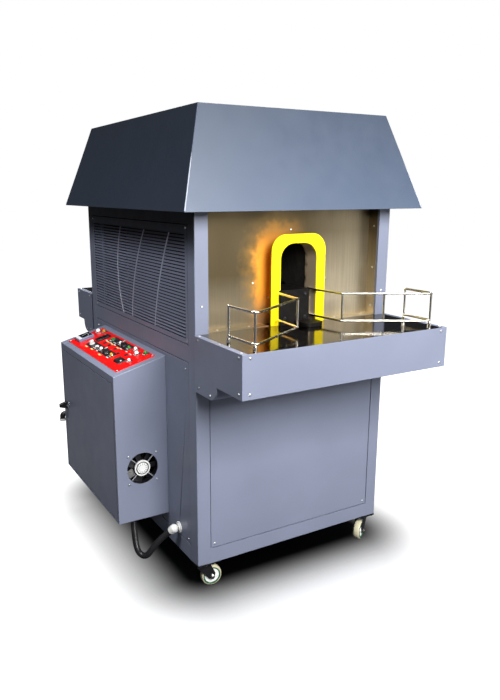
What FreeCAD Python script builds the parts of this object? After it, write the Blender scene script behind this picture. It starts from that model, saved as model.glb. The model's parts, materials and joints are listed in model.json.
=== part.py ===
import FreeCAD, Part
import math
import os

# Gas-fired pass-through forge furnace in a cabinet on casters. Millimetres, +Z up.
# Everything is laid out about the middle of the cabinet's footprint, with the front at -Y and the control
# box at -X. The last lines move the whole part so that its origin is under the middle of its bounding box.

V = FreeCAD.Vector
X_AXIS = V(1, 0, 0)
Y_AXIS = V(0, 1, 0)
Z_AXIS = V(0, 0, 1)
SIGNS = (-1, 1)

# Cabinet
BODY_W = 790.0
BODY_D = 1018.0
BASE_Z = 100.0            # underside of the cabinet, on its casters
HOOD_Z = 1298.0           # lower edge of the hood
POST = 48.0               # square corner posts
RAIL = 40.0               # depth of the rails between them
TUBE_WALL = 2.5
BASE_RAIL_H = 55.0
BELT_Z = (815.0, 872.0)   # rail between the base and the furnace half
TOP_RAIL_Z = (1258.0, 1300.0)
SHEET = 2.0
SEAM = 3.0                # gap round each screwed-on panel
RECESS = 53.0             # the stainless end panels stand this far behind the posts

# Hood
HOOD_H = 315.0
HOOD_OVER_X = 72.0
HOOD_OVER_Y = 84.0
HOOD_IN_X = 26.0
HOOD_IN_Y = 17.0
HOOD_LIP = 15.0
FLUE_R = 75.0
FLUE_Y = 120.0
FLUE_H = 52.0

# Tables and trays
TABLE_Z = 914.0
TRAY_W = 798.0
TRAY_DROP = 135.0         # height of the tray's front plate
LUG_Z = 730.0             # underside of the deeper lug against the cabinet
LUG_R = 45.0
FRONT_TRAY = (298.0, 146.0)   # reach and lug length from the cabinet's face
REAR_TRAY = (202.0, 124.0)
FLANGE = 20.0

# Mouths and tunnel
MOUTH_HALF = 73.0
MOUTH_TOP = 1188.0
MOUTH_R = 52.0
FRAME_HALF = 110.5
FRAME_TOP = 1219.0
FRAME_R = 56.0
FRAME_T = 4.0
SLEEVE_WALL = 3.0
SLEEVE_FRONT = 504.0      # distance of the sleeve's outer end from the middle
SLEEVE_BACK = 441.0

# Furnace
CASING = (250.0, 440.0, 872.0, 1240.0)   # half width, half length, bottom, top
CASING_WALL = 3.0
TUNNEL_HALF = 75.0
TUNNEL_Z = (902.0, 1192.0)
BURNER_Y = (-300.0, -100.0, 100.0, 300.0)
BURNER_Z = 1010.0
BURNER_R = 22.0
MANIFOLD_X = 330.0
PIPE_R = 13.2             # three-quarter-inch pipe
PIPE_BEND = 32.0
INLET_Z = 300.0
COCK_Y = 550.0
COCK_LEVER = 92.0
BURNER_HEAD_X = 300.0     # middle of the mixing heads, above the air header
DUCT_X = (258.0, 314.0)
DUCT_HALF_Y = 28.0
HEADER_Z = (926.0, 982.5)
HEADER_HALF_Y = 335.0

# Blower
BLOWER_X = (250.0, 330.0)
BLOWER_Z = 330.0
BLOWER_R = 135.0
SHAFT_R = 6.0
RUN = 0.05                # radial clearance of a running fit

# Side grilles: rows of slots between ribs that sweep down the sheet in shallow curves. A rib's place along
# the cabinet is a + b h + c h^2, with h its height above GRILLE_FOOT.
GRILLE_FOOT = 900.0
GRILLE_RIBS = ((-193.0, -0.18, -0.0007), (23.0, -0.06, -0.0011), (122.0, 0.55, -0.0017), (339.0, 0.0, 0.0))
GRILLE_MARGIN = 16.0
GRILLE_RIB = 9.0
SLOT_H = 5.0
SLOT_PITCH = 11.0

# Guards on the front table, in plan from the mouth round to the cabinet; the right one runs into the mouth
GUARD_ROD = 4.0
GUARD_BEND = 14.0
GUARD_Z = (936.0, 1027.0)
GUARDS = {"guard_left": ((-89.0, -520.0), (-101.0, -650.0), (-352.0, -800.0), (-358.0, -656.0)),
          "guard_right": ((69.0, -466.0), (69.0, -514.0), (90.0, -632.0), (356.0, -788.0), (353.0, -648.0))}

# Work carriage
SHIELD = ((-80.0, 40.0), (-516.0, -509.5))   # plate in front of the mouth
SHIELD_TOP = 1034.0

# Control box on the left side
BOX_W = 194.0
BOX_Y = (-274.0, 354.0)
BOX_Z = 201.0
BOX_TOP = 746.0           # top at the outer face
BOX_RISE = 53.5           # the sloped top rises this much towards the cabinet
DOOR_Y = (-258.0, 334.0)
DOOR_Z = (211.0, 718.0)
DOOR_DEPTH = 12.0
PIVOT_IN = 5.0            # the door's pivots lie this far inside its outer corner
PIVOT_R = 2.5
LATCH = (301.0, 488.0)    # Y, Z of the door latch
LATCH_OUT = 36.0
FAN_IN = 96.0             # fan centre from the box's outer face
FAN_Z = 397.0
FAN_BORE = 57.5
FAN_HUB = 29.0
FAN_HALF = 59.5
FAN_SCREW = 52.4
MAINS_IN = 19.0           # mains gland from the outer face, on the rear wall
MAINS_Z = 427.0
MAINS_OUT = (-7.0, 18.0)  # where its elbow turns down: past the outer face, and behind the rear wall
MAINS_LOW = 397.0
GLAND_BORE = 6.0
THREAD_R = 9.0

# Red panel, in its own slope coordinates: v up the slope from the outer edge, y along the cabinet
PLATE_V = (24.6, 176.6)
PLATE_Y = (-240.0, 320.0)
PLATE_T = 2.0
METER = (80.0, 268.0, 33.0)
DISPLAY = (128.0, 172.0, 29.0, 18.0)
KNOBS = {"gas_knob": (76.0, 160.0, 11.0), "blower_knob": (76.0, 0.0, 15.0),
         "selector_knob": (148.0, -8.0, 13.0)}
BUTTONS = {"start_button": (148.0, 110.0), "stop_button": (148.0, 62.0), "ignition_button": (76.0, 100.0)}
BUTTON_R = 8.0
ROCKER = (74.0, -152.0, 21.0, 13.0)
ROCKER_TILT = 8.0
LAMPS = ((148.0, 288.0, 8.0), (162.0, 252.0, 6.0), (76.0, 50.0, 6.0), (76.0, -62.0, 6.0),
         (148.0, 22.0, 6.0), (148.0, -62.0, 6.0), (158.0, -104.0, 6.0), (142.0, -152.0, 7.0),
         (163.0, -186.0, 6.0), (96.0, -190.0, 5.0))

# Casters
CORNERS = {"fl": (-1, -1), "fr": (1, -1), "rl": (-1, 1), "rr": (1, 1)}
CASTER_X = 360.0
CASTER_Y = 474.0
CASTER_TURN = {"fl": -8.0, "fr": 213.5, "rl": 160.0, "rr": 75.0}   # way each caster trails at rest
WHEEL_R = 37.5
WHEEL_W = 26.0
TRAIL = 30.0
AXLE_R = 5.0
PLATE_HALF = 35.0
BOLT_AT = 27.0
KINGPIN_R = 6.0

# Pan-head screws
SCREW_R = 4.0
SCREW_H = 2.5

# Flexible conduit from the box to the base: a hand-laid route, gland to gland
CONDUIT_R = 11.5
CONDUIT = ((-508.0, -203.0, 176.0), (-508.0, -203.0, 150.0), (-507.0, -205.0, 118.0), (-505.5, -207.5, 84.0),
           (-503.0, -212.0, 58.0), (-498.5, -219.5, 39.0), (-489.0, -237.0, 30.5), (-479.0, -254.5, 38.5),
           (-470.5, -269.5, 61.0), (-459.5, -289.0, 94.0), (-446.0, -312.0, 126.0), (-433.0, -335.5, 153.5),
           (-423.5, -352.0, 171.0))
ELBOW_REACH = 18.0        # from the conduit's end to the middle of the elbow gland on the base

HALF_W = BODY_W / 2
HALF_D = BODY_D / 2
PANEL_Y = HALF_D - RECESS
BOX_X = -HALF_W - BOX_W
SLOPE = math.atan2(BOX_RISE, BOX_W)
PIVOT = (BOX_X + PIVOT_IN, DOOR_Y[0] + PIVOT_IN - 1)
MAINS = (BOX_X + MAINS_IN, BOX_Y[1], MAINS_Z)
BOX_END = CONDUIT[0]
BASE_END = V(*CONDUIT[-1])
ELBOW = tuple(BASE_END + (BASE_END - V(*CONDUIT[-2])).normalize() * ELBOW_REACH)
ORIGIN = V((HALF_W + HOOD_OVER_X + BOX_X - LATCH_OUT) / 2, (REAR_TRAY[0] - FRONT_TRAY[0]) / 2, 0)


def block(x, y, z):
    """A box from three (low, high) pairs."""
    return Part.makeBox(x[1] - x[0], y[1] - y[0], z[1] - z[0], V(x[0], y[0], z[0]))


def rod(start, end, radius):
    start, end = V(*start), V(*end)
    return Part.makeCylinder(radius, (end - start).Length, start, end - start)


def pipe(start, end, radius, bore):
    return rod(start, end, radius).cut(rod(start, end, bore))


def beam(x, y, z, axis):
    """A square tube with open ends; axis is 0, 1 or 2."""
    spans = [(low + TUBE_WALL, high - TUBE_WALL) for low, high in (x, y, z)]
    spans[axis] = (x, y, z)[axis]
    return block(x, y, z).cut(block(*spans))


def prism(points, push):
    """The polygon through the points, pushed along a vector."""
    corners = [V(*p) for p in points]
    return Part.Face(Part.makePolygon(corners + corners[:1])).extrude(V(*push))


def joined(shapes):
    """One solid from pieces that touch or overlap."""
    first, *others = shapes
    return first.multiFuse(others).removeSplitter()


def both(low, high, sign):
    """The span (low, high) on the side that the sign names."""
    return (low, high) if sign > 0 else (-high, -low)


def rounded_path(points, cut_back):
    """Straight runs joined by arcs that leave each corner cut_back(before, after, turn) away from it.

    Returns the wire, the middle of each arc and the arcs' radii."""
    edges, bends, radii, here = [], [], [], points[0]
    for before, corner, after in zip(points, points[1:], points[2:]):
        into, out = corner - before, after - corner
        turn = into.getAngle(out)
        cut = cut_back(into.Length, out.Length, turn)
        start, end = corner - into.normalize() * cut, corner + out.normalize() * cut
        radius = cut / math.tan(turn / 2)
        inward = ((start + end) * 0.5 - corner).normalize()
        bend = corner + inward * radius * (1 / math.cos(turn / 2) - 1)
        edges += [Part.LineSegment(here, start).toShape(), Part.Arc(start, bend, end).toShape()]
        bends.append(bend)
        radii.append(radius)
        here = end
    edges.append(Part.LineSegment(here, points[-1]).toShape())
    return Part.Wire(edges), bends, radii


def swept_rod(path, points, radius):
    ring = Part.Wire(Part.makeCircle(radius, points[0], points[1] - points[0]))
    return path.makePipeShell([ring], True, False)


def rear_of(shape):
    """The same shape turned to the other end of the cabinet."""
    turned = shape.copy()
    turned.rotate(V(0, 0, 0), Z_AXIS, 180)
    return turned


def on_slope(shape, v, y):
    """Sets a shape built on the plane z = 0 down on the control box's sloped top."""
    placed = shape.copy()
    placed.translate(V(v, 0, 0))
    placed.rotate(V(0, 0, 0), Y_AXIS, -math.degrees(SLOPE))
    placed.translate(V(BOX_X, y, BOX_TOP))
    return placed


def arch(half, top, radius, y, depth):
    """A flat-topped arch with rounded shoulders that stands on the table and is depth long."""
    spring, knee = top - radius, radius * math.sin(math.pi / 4)
    left, right = V(-half, y, spring), V(half, y, spring)
    edges = [
        Part.LineSegment(V(-half, y, TABLE_Z), left),
        Part.Arc(left, V(-half + radius - knee, y, spring + knee), V(-half + radius, y, top)),
        Part.LineSegment(V(-half + radius, y, top), V(half - radius, y, top)),
        Part.Arc(V(half - radius, y, top), V(half - radius + knee, y, spring + knee), right),
        Part.LineSegment(right, V(half, y, TABLE_Z)),
        Part.LineSegment(V(half, y, TABLE_Z), V(-half, y, TABLE_Z)),
    ]
    return Part.Face(Part.Wire([edge.toShape() for edge in edges])).extrude(V(0, depth, 0))


# ---- cabinet -------------------------------------------------------------------------------------------

def cabinet_frame():
    """Corner posts, rails, floor pan, chamber bearers and hood bearers, each a length of its own."""
    inner_x, inner_y = HALF_W - POST, HALF_D - POST
    rail_x, rail_y = (HALF_W - RAIL, HALF_W), (HALF_D - RAIL, HALF_D)
    end_rail = (PANEL_Y - SHEET - RAIL, PANEL_Y - SHEET)
    corners = [(both(inner_x, HALF_W, sx), both(inner_y, HALF_D, sy)) for sx in SIGNS for sy in SIGNS]
    bars = [beam(x, y, (BASE_Z, TOP_RAIL_Z[1]), 2) for x, y in corners]
    for sign in SIGNS:
        for z in ((BASE_Z, BASE_Z + BASE_RAIL_H), BELT_Z):
            bars.append(beam((-inner_x, inner_x), both(*rail_y, sign), z, 0))
            bars.append(beam(both(*rail_x, sign), (-inner_y, inner_y), z, 1))
        bars.append(beam(both(*rail_x, sign), (-inner_y, inner_y), TOP_RAIL_Z, 1))
        bars.append(beam((-rail_x[0], rail_x[0]), both(*end_rail, sign), TOP_RAIL_Z, 0))
        bars.append(beam((-rail_x[0], rail_x[0]), both(230, 270, sign), (BELT_Z[1] - RAIL, BELT_Z[1]), 0))
    floor = block((-rail_x[0], rail_x[0]), (-rail_y[0], rail_y[0]), (BASE_Z, BASE_Z + SHEET))
    for x, y in corners:
        floor = floor.cut(block(x, y, (BASE_Z - 1, BASE_Z + POST)))
    bars.append(floor)
    bearer_z = (TOP_RAIL_Z[1], TOP_RAIL_Z[1] + 6)
    for sx in SIGNS:
        for sy in SIGNS:
            side = both(rail_x[0], HALF_W + HOOD_OVER_X - 5, sx)
            end = both(end_rail[0], HALF_D + HOOD_OVER_Y - 5, sy)
            bars.append(block(side, both(300, 330, sy), bearer_z))
            bars.append(block(both(200, 230, sx), end, bearer_z))
    return bars


def flat_panel(x, y, z, normal_axis, sign):
    """A sheet with a folded rim behind its face, so that it reads as a tray screwed to the frame."""
    outer = block(x, y, z)
    spans = [(low + SHEET, high - SHEET) for low, high in (x, y, z)]
    low, high = (x, y, z)[normal_axis]
    spans[normal_axis] = (low, high - SHEET) if sign > 0 else (low + SHEET, high)
    return outer.cut(block(*spans))


def base_end_panel(sign):
    half = HALF_W - POST - SEAM
    z = (BASE_Z + BASE_RAIL_H + SEAM, BELT_Z[0] - SEAM)
    return flat_panel((-half, half), both(HALF_D - 15, HALF_D, sign), z, 1, sign)


def base_side_panel(sign):
    half = HALF_D - POST - SEAM
    z = (BASE_Z + BASE_RAIL_H + SEAM, BELT_Z[0] - SEAM)
    return flat_panel(both(HALF_W - 15, HALF_W, sign), (-half, half), z, 0, sign)


def side_grille(sign):
    """Slotted sheet between the belt and the top rail."""
    half = HALF_D - POST - SEAM
    z = (BELT_Z[1] + SEAM, TOP_RAIL_Z[0] - SEAM)
    sheet = flat_panel(both(HALF_W - 15, HALF_W, sign), (-half, half), z, 0, sign)
    face = both(HALF_W - SHEET - 1, HALF_W + 1, sign)
    rows = int((z[1] - z[0] - 2 * GRILLE_MARGIN) // SLOT_PITCH)
    slots = []
    for row in range(rows):
        low = z[0] + GRILLE_MARGIN + row * SLOT_PITCH
        height = low - GRILLE_FOOT
        ribs = [a + b * height + c * height ** 2 for a, b, c in GRILLE_RIBS]
        starts = [GRILLE_MARGIN - half] + [rib + GRILLE_RIB / 2 for rib in ribs]
        ends = [rib - GRILLE_RIB / 2 for rib in ribs] + [half - GRILLE_MARGIN]
        slots += [block(face, (start, end), (low, low + SLOT_H)) for start, end in zip(starts, ends)]
    return sheet.cut(Part.makeCompound(slots))


def stainless_panel():
    """End panel between the posts, with side returns and a foot folded out over the table."""
    half = HALF_W - POST
    face = block((-half, half), (-PANEL_Y, -PANEL_Y + SHEET), (TABLE_Z, HOOD_Z))
    foot = block((-half, half), (-HALF_D + 9, -PANEL_Y), (TABLE_Z, TABLE_Z + SHEET))
    returns = [block(both(half - SHEET, half, s), (-HALF_D + 9, -PANEL_Y), (TABLE_Z, HOOD_Z)) for s in SIGNS]
    panel = joined([face, foot, *returns])
    wall = SLEEVE_WALL
    doorway = arch(MOUTH_HALF + wall, MOUTH_TOP + wall, MOUTH_R + wall, -PANEL_Y - 5, 20)
    gap = block((-FRAME_HALF - 2, FRAME_HALF + 2), (-HALF_D, -PANEL_Y - 0.001), (TABLE_Z - 1, TABLE_Z + 5))
    return panel.cut(doorway).cut(gap)


def frustum(half_x, half_y, top_x, top_y, z0, z1):
    wires = []
    for hx, hy, z in ((half_x, half_y, z0), (top_x, top_y, z1)):
        corners = [V(-hx, -hy, z), V(hx, -hy, z), V(hx, hy, z), V(-hx, hy, z), V(-hx, -hy, z)]
        wires.append(Part.makePolygon(corners))
    return Part.makeLoft(wires, True, True)


def mitred_quarters(low_x, low_y, in_x, in_y, z):
    """Four prisms that share out a hood's rim, meeting on the plan lines of its ridges."""
    quarters = []
    for sign in SIGNS:
        outer, inner = (sign * low_x, sign * low_y), (sign * (low_x - in_x), sign * (low_y - in_y))
        end = [(-outer[0], outer[1]), outer, inner, (-inner[0], inner[1])]
        side = [(outer[0], -outer[1]), outer, inner, (inner[0], -inner[1])]
        quarters += [prism([(x, y, z[0]) for x, y in plan], (0, 0, z[1] - z[0])) for plan in (end, side)]
    return quarters


def hood():
    """Four sloped walls, each with a lip folded in along its foot, and a roof with the flue's hole."""
    low_x, low_y = HALF_W + HOOD_OVER_X, HALF_D + HOOD_OVER_Y
    top_x, top_y = HALF_W - HOOD_IN_X, HALF_D - HOOD_IN_Y
    top = HOOD_Z + HOOD_H
    wall = SHEET * math.hypot(HOOD_H, low_x - top_x) / HOOD_H
    outside = frustum(low_x, low_y, top_x, top_y, HOOD_Z, top)
    shell = outside.cut(frustum(low_x - wall, low_y - wall, top_x - wall, top_y - wall, HOOD_Z, top))
    deep_x, deep_y = 1.2 * (low_x - top_x), 1.2 * (low_y - top_y)     # past the walls, which lean in
    quarters = mitred_quarters(low_x, low_y, deep_x, deep_y, (HOOD_Z, top - SHEET))
    rim = block((-low_x, low_x), (-low_y, low_y), (HOOD_Z, HOOD_Z + SHEET))
    rim = rim.common(outside).cut(shell)
    rim = rim.cut(block((HOOD_LIP - low_x, low_x - HOOD_LIP), (HOOD_LIP - low_y, low_y - HOOD_LIP),
                        (HOOD_Z - 1, HOOD_Z + SHEET + 1)))
    roof = outside.common(block((-low_x, low_x), (-low_y, low_y), (top - SHEET, top)))
    roof = roof.cut(rod((0, FLUE_Y, top - 20), (0, FLUE_Y, top + 20), FLUE_R - 3))
    return [folded.common(quarter) for folded in (shell, rim) for quarter in quarters] + [roof]


def flue_spigot():
    top = HOOD_Z + HOOD_H
    collar = pipe((0, FLUE_Y, top), (0, FLUE_Y, top + 3), FLUE_R + 20, FLUE_R - 3)
    spigot = pipe((0, FLUE_Y, top), (0, FLUE_Y, top + FLUE_H), FLUE_R, FLUE_R - 3)
    return joined([collar, spigot])


# ---- trays, tables, mouths -----------------------------------------------------------------------------

def tray_outline(reach, lug, inset, top):
    """Side view of a tray as a face in the plane X = 0: shallow in front, deeper against the cabinet."""
    front, back = -HALF_D - reach + inset, -HALF_D
    low, lug_low = TABLE_Z - TRAY_DROP + inset, LUG_Z + inset
    lug_end, radius = -HALF_D - lug + inset, LUG_R - inset
    knee = radius * (1 - math.sin(math.pi / 4))
    corner = V(0, lug_end, lug_low + radius)
    foot = V(0, lug_end + radius, lug_low)
    heel = V(0, back, lug_low)
    outline = [V(0, back, top), V(0, front, top), V(0, front, low), V(0, lug_end, low), corner]
    edges = [Part.LineSegment(a, b) for a, b in zip(outline, outline[1:])]
    edges.append(Part.Arc(corner, V(0, lug_end + knee, lug_low + knee), foot))
    edges.append(Part.LineSegment(foot, heel))
    edges.append(Part.LineSegment(heel, outline[0]))
    return Part.Face(Part.Wire([edge.toShape() for edge in edges]))


def tray(reach, lug):
    """Folded tray: skin of the outline, open at the back and on top, with a flange along each side."""
    half = TRAY_W / 2
    outer = tray_outline(reach, lug, 0, TABLE_Z).extrude(V(TRAY_W, 0, 0))
    inner = tray_outline(reach, lug, SHEET, TABLE_Z + 5).extrude(V(TRAY_W - 2 * SHEET, 0, 0))
    outer.translate(V(-half, 0, 0))
    inner.translate(V(-half + SHEET, 0, 0))
    flanges = [block(both(half - FLANGE, half, s), (-HALF_D - reach, -HALF_D), (TABLE_Z - SHEET, TABLE_Z))
               for s in SIGNS]
    return joined([outer.cut(inner), *flanges])


def table(reach):
    """Polished top between the tray's flanges, with a tongue that runs in to the stainless panel."""
    half, tongue = TRAY_W / 2 - FLANGE, HALF_W - POST - 3
    z = (TABLE_Z - SHEET, TABLE_Z)
    top = block((-half, half), (-HALF_D - reach + SHEET, -HALF_D), z)
    inner = block((-tongue, tongue), (-HALF_D, -PANEL_Y - SHEET), z)
    return joined([top, inner])


def mouth_frame():
    outer = arch(FRAME_HALF, FRAME_TOP, FRAME_R, -SLEEVE_FRONT - FRAME_T, FRAME_T)
    return outer.cut(arch(MOUTH_HALF, MOUTH_TOP, MOUTH_R, -SLEEVE_FRONT - 2 * FRAME_T, 3 * FRAME_T))


def mouth_sleeve():
    depth = SLEEVE_FRONT - SLEEVE_BACK
    wall = SLEEVE_WALL
    outer = arch(MOUTH_HALF + wall, MOUTH_TOP + wall, MOUTH_R + wall, -SLEEVE_FRONT, depth)
    return outer.cut(arch(MOUTH_HALF, MOUTH_TOP, MOUTH_R, -SLEEVE_FRONT - 5, depth + 10))


def guard(plan, braced):
    """Welded wire guard that funnels work towards the mouth: two bent rails, posts and two feet.

    A braced guard has one more post along its slanted side and one in the mouth."""
    pieces = []
    for z in GUARD_Z:
        corners = [V(x, y, z) for x, y in plan]
        path, bends, _ = rounded_path(corners, lambda before, after, turn: GUARD_BEND * math.tan(turn / 2))
        pieces.append(swept_rod(path, corners, GUARD_ROD))
    back = corners[-1] + V(0, -GUARD_ROD / 2, 0)
    posts = [*bends[-2:], back]
    if braced:
        posts += [corners[-3] * 0.55 + corners[-2] * 0.45, corners[0] + V(0, -GUARD_ROD / 2, 0)]
    for spot in posts:
        pieces.append(rod((spot.x, spot.y, GUARD_Z[0]), (spot.x, spot.y, GUARD_Z[1]), GUARD_ROD - 0.3))
    for spot in (bends[-2], back):
        pieces.append(rod((spot.x, spot.y, TABLE_Z), (spot.x, spot.y, GUARD_Z[0]), GUARD_ROD + 2))
    return joined(pieces)


def work_carriage():
    """Cast carriage that stands in the front mouth: sole, body, a shield before them and a round toe."""
    floor = TABLE_Z + 0.5
    sole = block((-58, 58), (-509.5, -372), (floor, floor + 12))
    body = block((-60, SHIELD[0][1]), (-509.5, -380), (floor, SHIELD_TOP))
    shield = block(*SHIELD, (floor, SHIELD_TOP))
    toe = block((-20, 56), (-586, -509.5), (floor, floor + 14))
    corners = [e for e in toe.Edges if e.BoundBox.ZLength > 10 and e.BoundBox.YMax < -580]
    return joined([sole, body, shield, toe.makeFillet(22, corners)])


# ---- furnace -------------------------------------------------------------------------------------------

def chamber_casing():
    """Four plates round the lining; the right one is pierced for the burners."""
    half_x, half_y, low, high = CASING
    y = (-half_y, half_y)
    plates = [block((-half_x, half_x), y, (low, low + CASING_WALL)),
              block((-half_x, half_x), y, (high - CASING_WALL, high))]
    for sign in SIGNS:
        side = both(half_x - CASING_WALL, half_x, sign)
        plates.append(block(side, y, (low + CASING_WALL, high - CASING_WALL)))
    plates[1] = plates[1].cut(rod((0, 150, high - 10), (0, 150, high + 10), 6.5))
    plates[3] = plates[3].cut(burner_holes())
    return plates


def burner_holes():
    return Part.makeCompound([rod((0, y, BURNER_Z), (300, y, BURNER_Z), BURNER_R + 0.5) for y in BURNER_Y])


def refractory_lining():
    """Floor, two walls and a roof of insulating blocks round the tunnel."""
    wall = CASING_WALL
    half_x, half_y, low, high = CASING[0] - wall, CASING[1], CASING[2] + wall, CASING[3] - wall
    y = (-half_y, half_y)
    roof = block((-half_x, half_x), y, (TUNNEL_Z[1], high)).cut(rod((0, 150, 1100), (0, 150, 1300), 6.5))
    walls = [block(both(TUNNEL_HALF, half_x, sign), y, TUNNEL_Z) for sign in SIGNS]
    walls[1] = walls[1].cut(burner_holes())
    return [block((-half_x, half_x), y, (low, TUNNEL_Z[0])), *walls, roof]


def hearth_plate():
    return block((1 - MOUTH_HALF, MOUTH_HALF - 1), (2 - PANEL_Y, PANEL_Y - 2), (TUNNEL_Z[0], TABLE_Z))


def burners():
    shapes = []
    for y in BURNER_Y:
        head_x = BURNER_HEAD_X
        nozzle = pipe((TUNNEL_HALF + 5, y, BURNER_Z), (head_x - 12, y, BURNER_Z), BURNER_R, BURNER_R - 5)
        head = rod((head_x - 16, y, BURNER_Z), (MANIFOLD_X - PIPE_R - 0.5, y, BURNER_Z), BURNER_R + 5)
        stub = rod((head_x, y, HEADER_Z[1]), (head_x, y, BURNER_Z), 12)
        shapes.append(joined([nozzle, head, stub]))
    return shapes


def gas_manifold():
    """Pipe along the burners, drop with a solenoid valve, and run to the rear inlet."""
    x = MANIFOLD_X
    run = [V(x, -320, BURNER_Z), V(x, 330, BURNER_Z), V(x, 330, INLET_Z), V(x, HALF_D - 9, INLET_Z)]
    path, _, _ = rounded_path(run, lambda before, after, turn: PIPE_BEND * math.tan(turn / 2))
    valve = block((x - 32, x + 15), (304, 356), (480, 540))
    coil = rod((x - 32, 330, 510), (x - 92, 330, 510), 22)
    return joined([swept_rod(path, run, PIPE_R), valve, coil])


def gas_inlet():
    """Wall flange, ball cock and threaded nipple at the rear."""
    x, z = MANIFOLD_X, INLET_Z
    pieces = [rod((x, HALF_D - 9, z), (x, COCK_Y + 40, z), PIPE_R),
              rod((x, HALF_D, z), (x, HALF_D + 5, z), 26),
              block((x - 20, x + 20), (COCK_Y - 24, COCK_Y + 24), (z - 20, z + 20)),
              rod((x, COCK_Y, z + 20), (x, COCK_Y, z + 28), 11)]
    return joined(pieces).cut(rod((x, COCK_Y, z + 5), (x, COCK_Y, z + 40), SHAFT_R + RUN))


def gas_cock_lever():
    """Lever across the pipe, which is the cock's closed position."""
    x, z = MANIFOLD_X, INLET_Z + 29
    stem = rod((x, COCK_Y, INLET_Z + 8), (x, COCK_Y, z + 6), SHAFT_R)
    lever = block((x - COCK_LEVER, x + 12), (COCK_Y - 8, COCK_Y + 8), (z, z + 4))
    return joined([stem, lever])


def blower_housing():
    """Fan casing on a foot with its motor at the side, and an outlet on top for the air duct."""
    x0, x1 = BLOWER_X
    wall = SHEET
    drum = rod((x0, 0, BLOWER_Z), (x1, 0, BLOWER_Z), BLOWER_R)
    outlet = block(DUCT_X, (-DUCT_HALF_Y, DUCT_HALF_Y), (BLOWER_Z, BLOWER_Z + BLOWER_R + 15))
    drum = joined([drum, outlet])
    hollow = rod((x0 + wall, 0, BLOWER_Z), (x1 - wall, 0, BLOWER_Z), BLOWER_R - wall)
    throat = block((DUCT_X[0] + wall, DUCT_X[1] - wall), (wall - DUCT_HALF_Y, DUCT_HALF_Y - wall),
                   (BLOWER_Z, BLOWER_Z + BLOWER_R + 16))
    eye = rod((x1 - 10, 0, BLOWER_Z), (x1 + 10, 0, BLOWER_Z), 55)
    drum = drum.cut(hollow).cut(throat).cut(eye)
    motor = rod((x0 - 110, 0, BLOWER_Z), (x0, 0, BLOWER_Z), 55)
    foot = block((x0 - 90, x1 - 5), (-70, 70), (BASE_Z + SHEET, BASE_Z + SHEET + 8))
    leg = block((x0 - 80, x0 - 20), (-50, 50), (BASE_Z + SHEET, BLOWER_Z))
    bore = rod((x0 - 40, 0, BLOWER_Z), (x0 + wall, 0, BLOWER_Z), SHAFT_R + RUN)
    return joined([drum, motor, foot, leg]).cut(bore)


def blower_impeller():
    """Back plate, hub with a stub shaft, and straight vanes."""
    x0 = BLOWER_X[0] + 8
    pieces = [rod((x0, 0, BLOWER_Z), (x0 + 3, 0, BLOWER_Z), 110),
              rod((x0, 0, BLOWER_Z), (x0 + 30, 0, BLOWER_Z), 20),
              rod((x0 - 40, 0, BLOWER_Z), (x0, 0, BLOWER_Z), SHAFT_R)]
    for vane in range(10):
        blade = block((x0 + 2, x0 + 50), (62, 108), (BLOWER_Z - 1.5, BLOWER_Z + 1.5))
        blade.rotate(V(0, 0, BLOWER_Z), X_AXIS, vane * 36)
        pieces.append(blade)
    return joined(pieces)


def air_duct():
    """Riser from the blower and a header under the burner heads."""
    inner_x, inner_y = (DUCT_X[0] + SHEET, DUCT_X[1] - SHEET), HEADER_HALF_Y - SHEET
    low, (header_z, top) = BLOWER_Z + BLOWER_R + 15, HEADER_Z
    riser = block(DUCT_X, (-DUCT_HALF_Y, DUCT_HALF_Y), (low, header_z))
    header = block(DUCT_X, (-HEADER_HALF_Y, HEADER_HALF_Y), HEADER_Z)
    bore = block(inner_x, (SHEET - DUCT_HALF_Y, DUCT_HALF_Y - SHEET), (low - 5, header_z + SHEET))
    plenum = block(inner_x, (-inner_y, inner_y), (header_z + SHEET, top - SHEET))
    ports = [rod((BURNER_HEAD_X, y, top - 5), (BURNER_HEAD_X, y, top + 5), 9) for y in BURNER_Y]
    return joined([riser, header]).cut(bore).cut(plenum).cut(Part.makeCompound(ports))


def thermocouple():
    top = CASING[3]
    sheath = rod((0, 150, TUNNEL_Z[1] - 30), (0, 150, top + 20), 6)
    head = rod((0, 150, top), (0, 150, top + 45), 24)
    return joined([sheath, head])


# ---- control box ---------------------------------------------------------------------------------------

def box_prism(y, drop=0.0):
    """The control box's sloped section between two Y values, with its top lowered by drop."""
    low, x = [(BOX_X, y[0], BOX_Z), (-HALF_W, y[0], BOX_Z)], (-HALF_W, BOX_X)
    top = [(x[0], y[0], BOX_TOP + BOX_RISE - drop), (x[1], y[0], BOX_TOP - drop)]
    return prism(low + top, (0, y[1] - y[0], 0))


def surround(outer, hole):
    """The spans of four strips round a rectangular hole; both are pairs of spans."""
    (a0, a1), (b0, b1) = outer
    (h0, h1), (k0, k1) = hole
    return ((a0, a1), (b0, k0)), ((a0, a1), (k1, b1)), ((a0, h0), (k0, k1)), ((h1, a1), (k0, k1))


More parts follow.
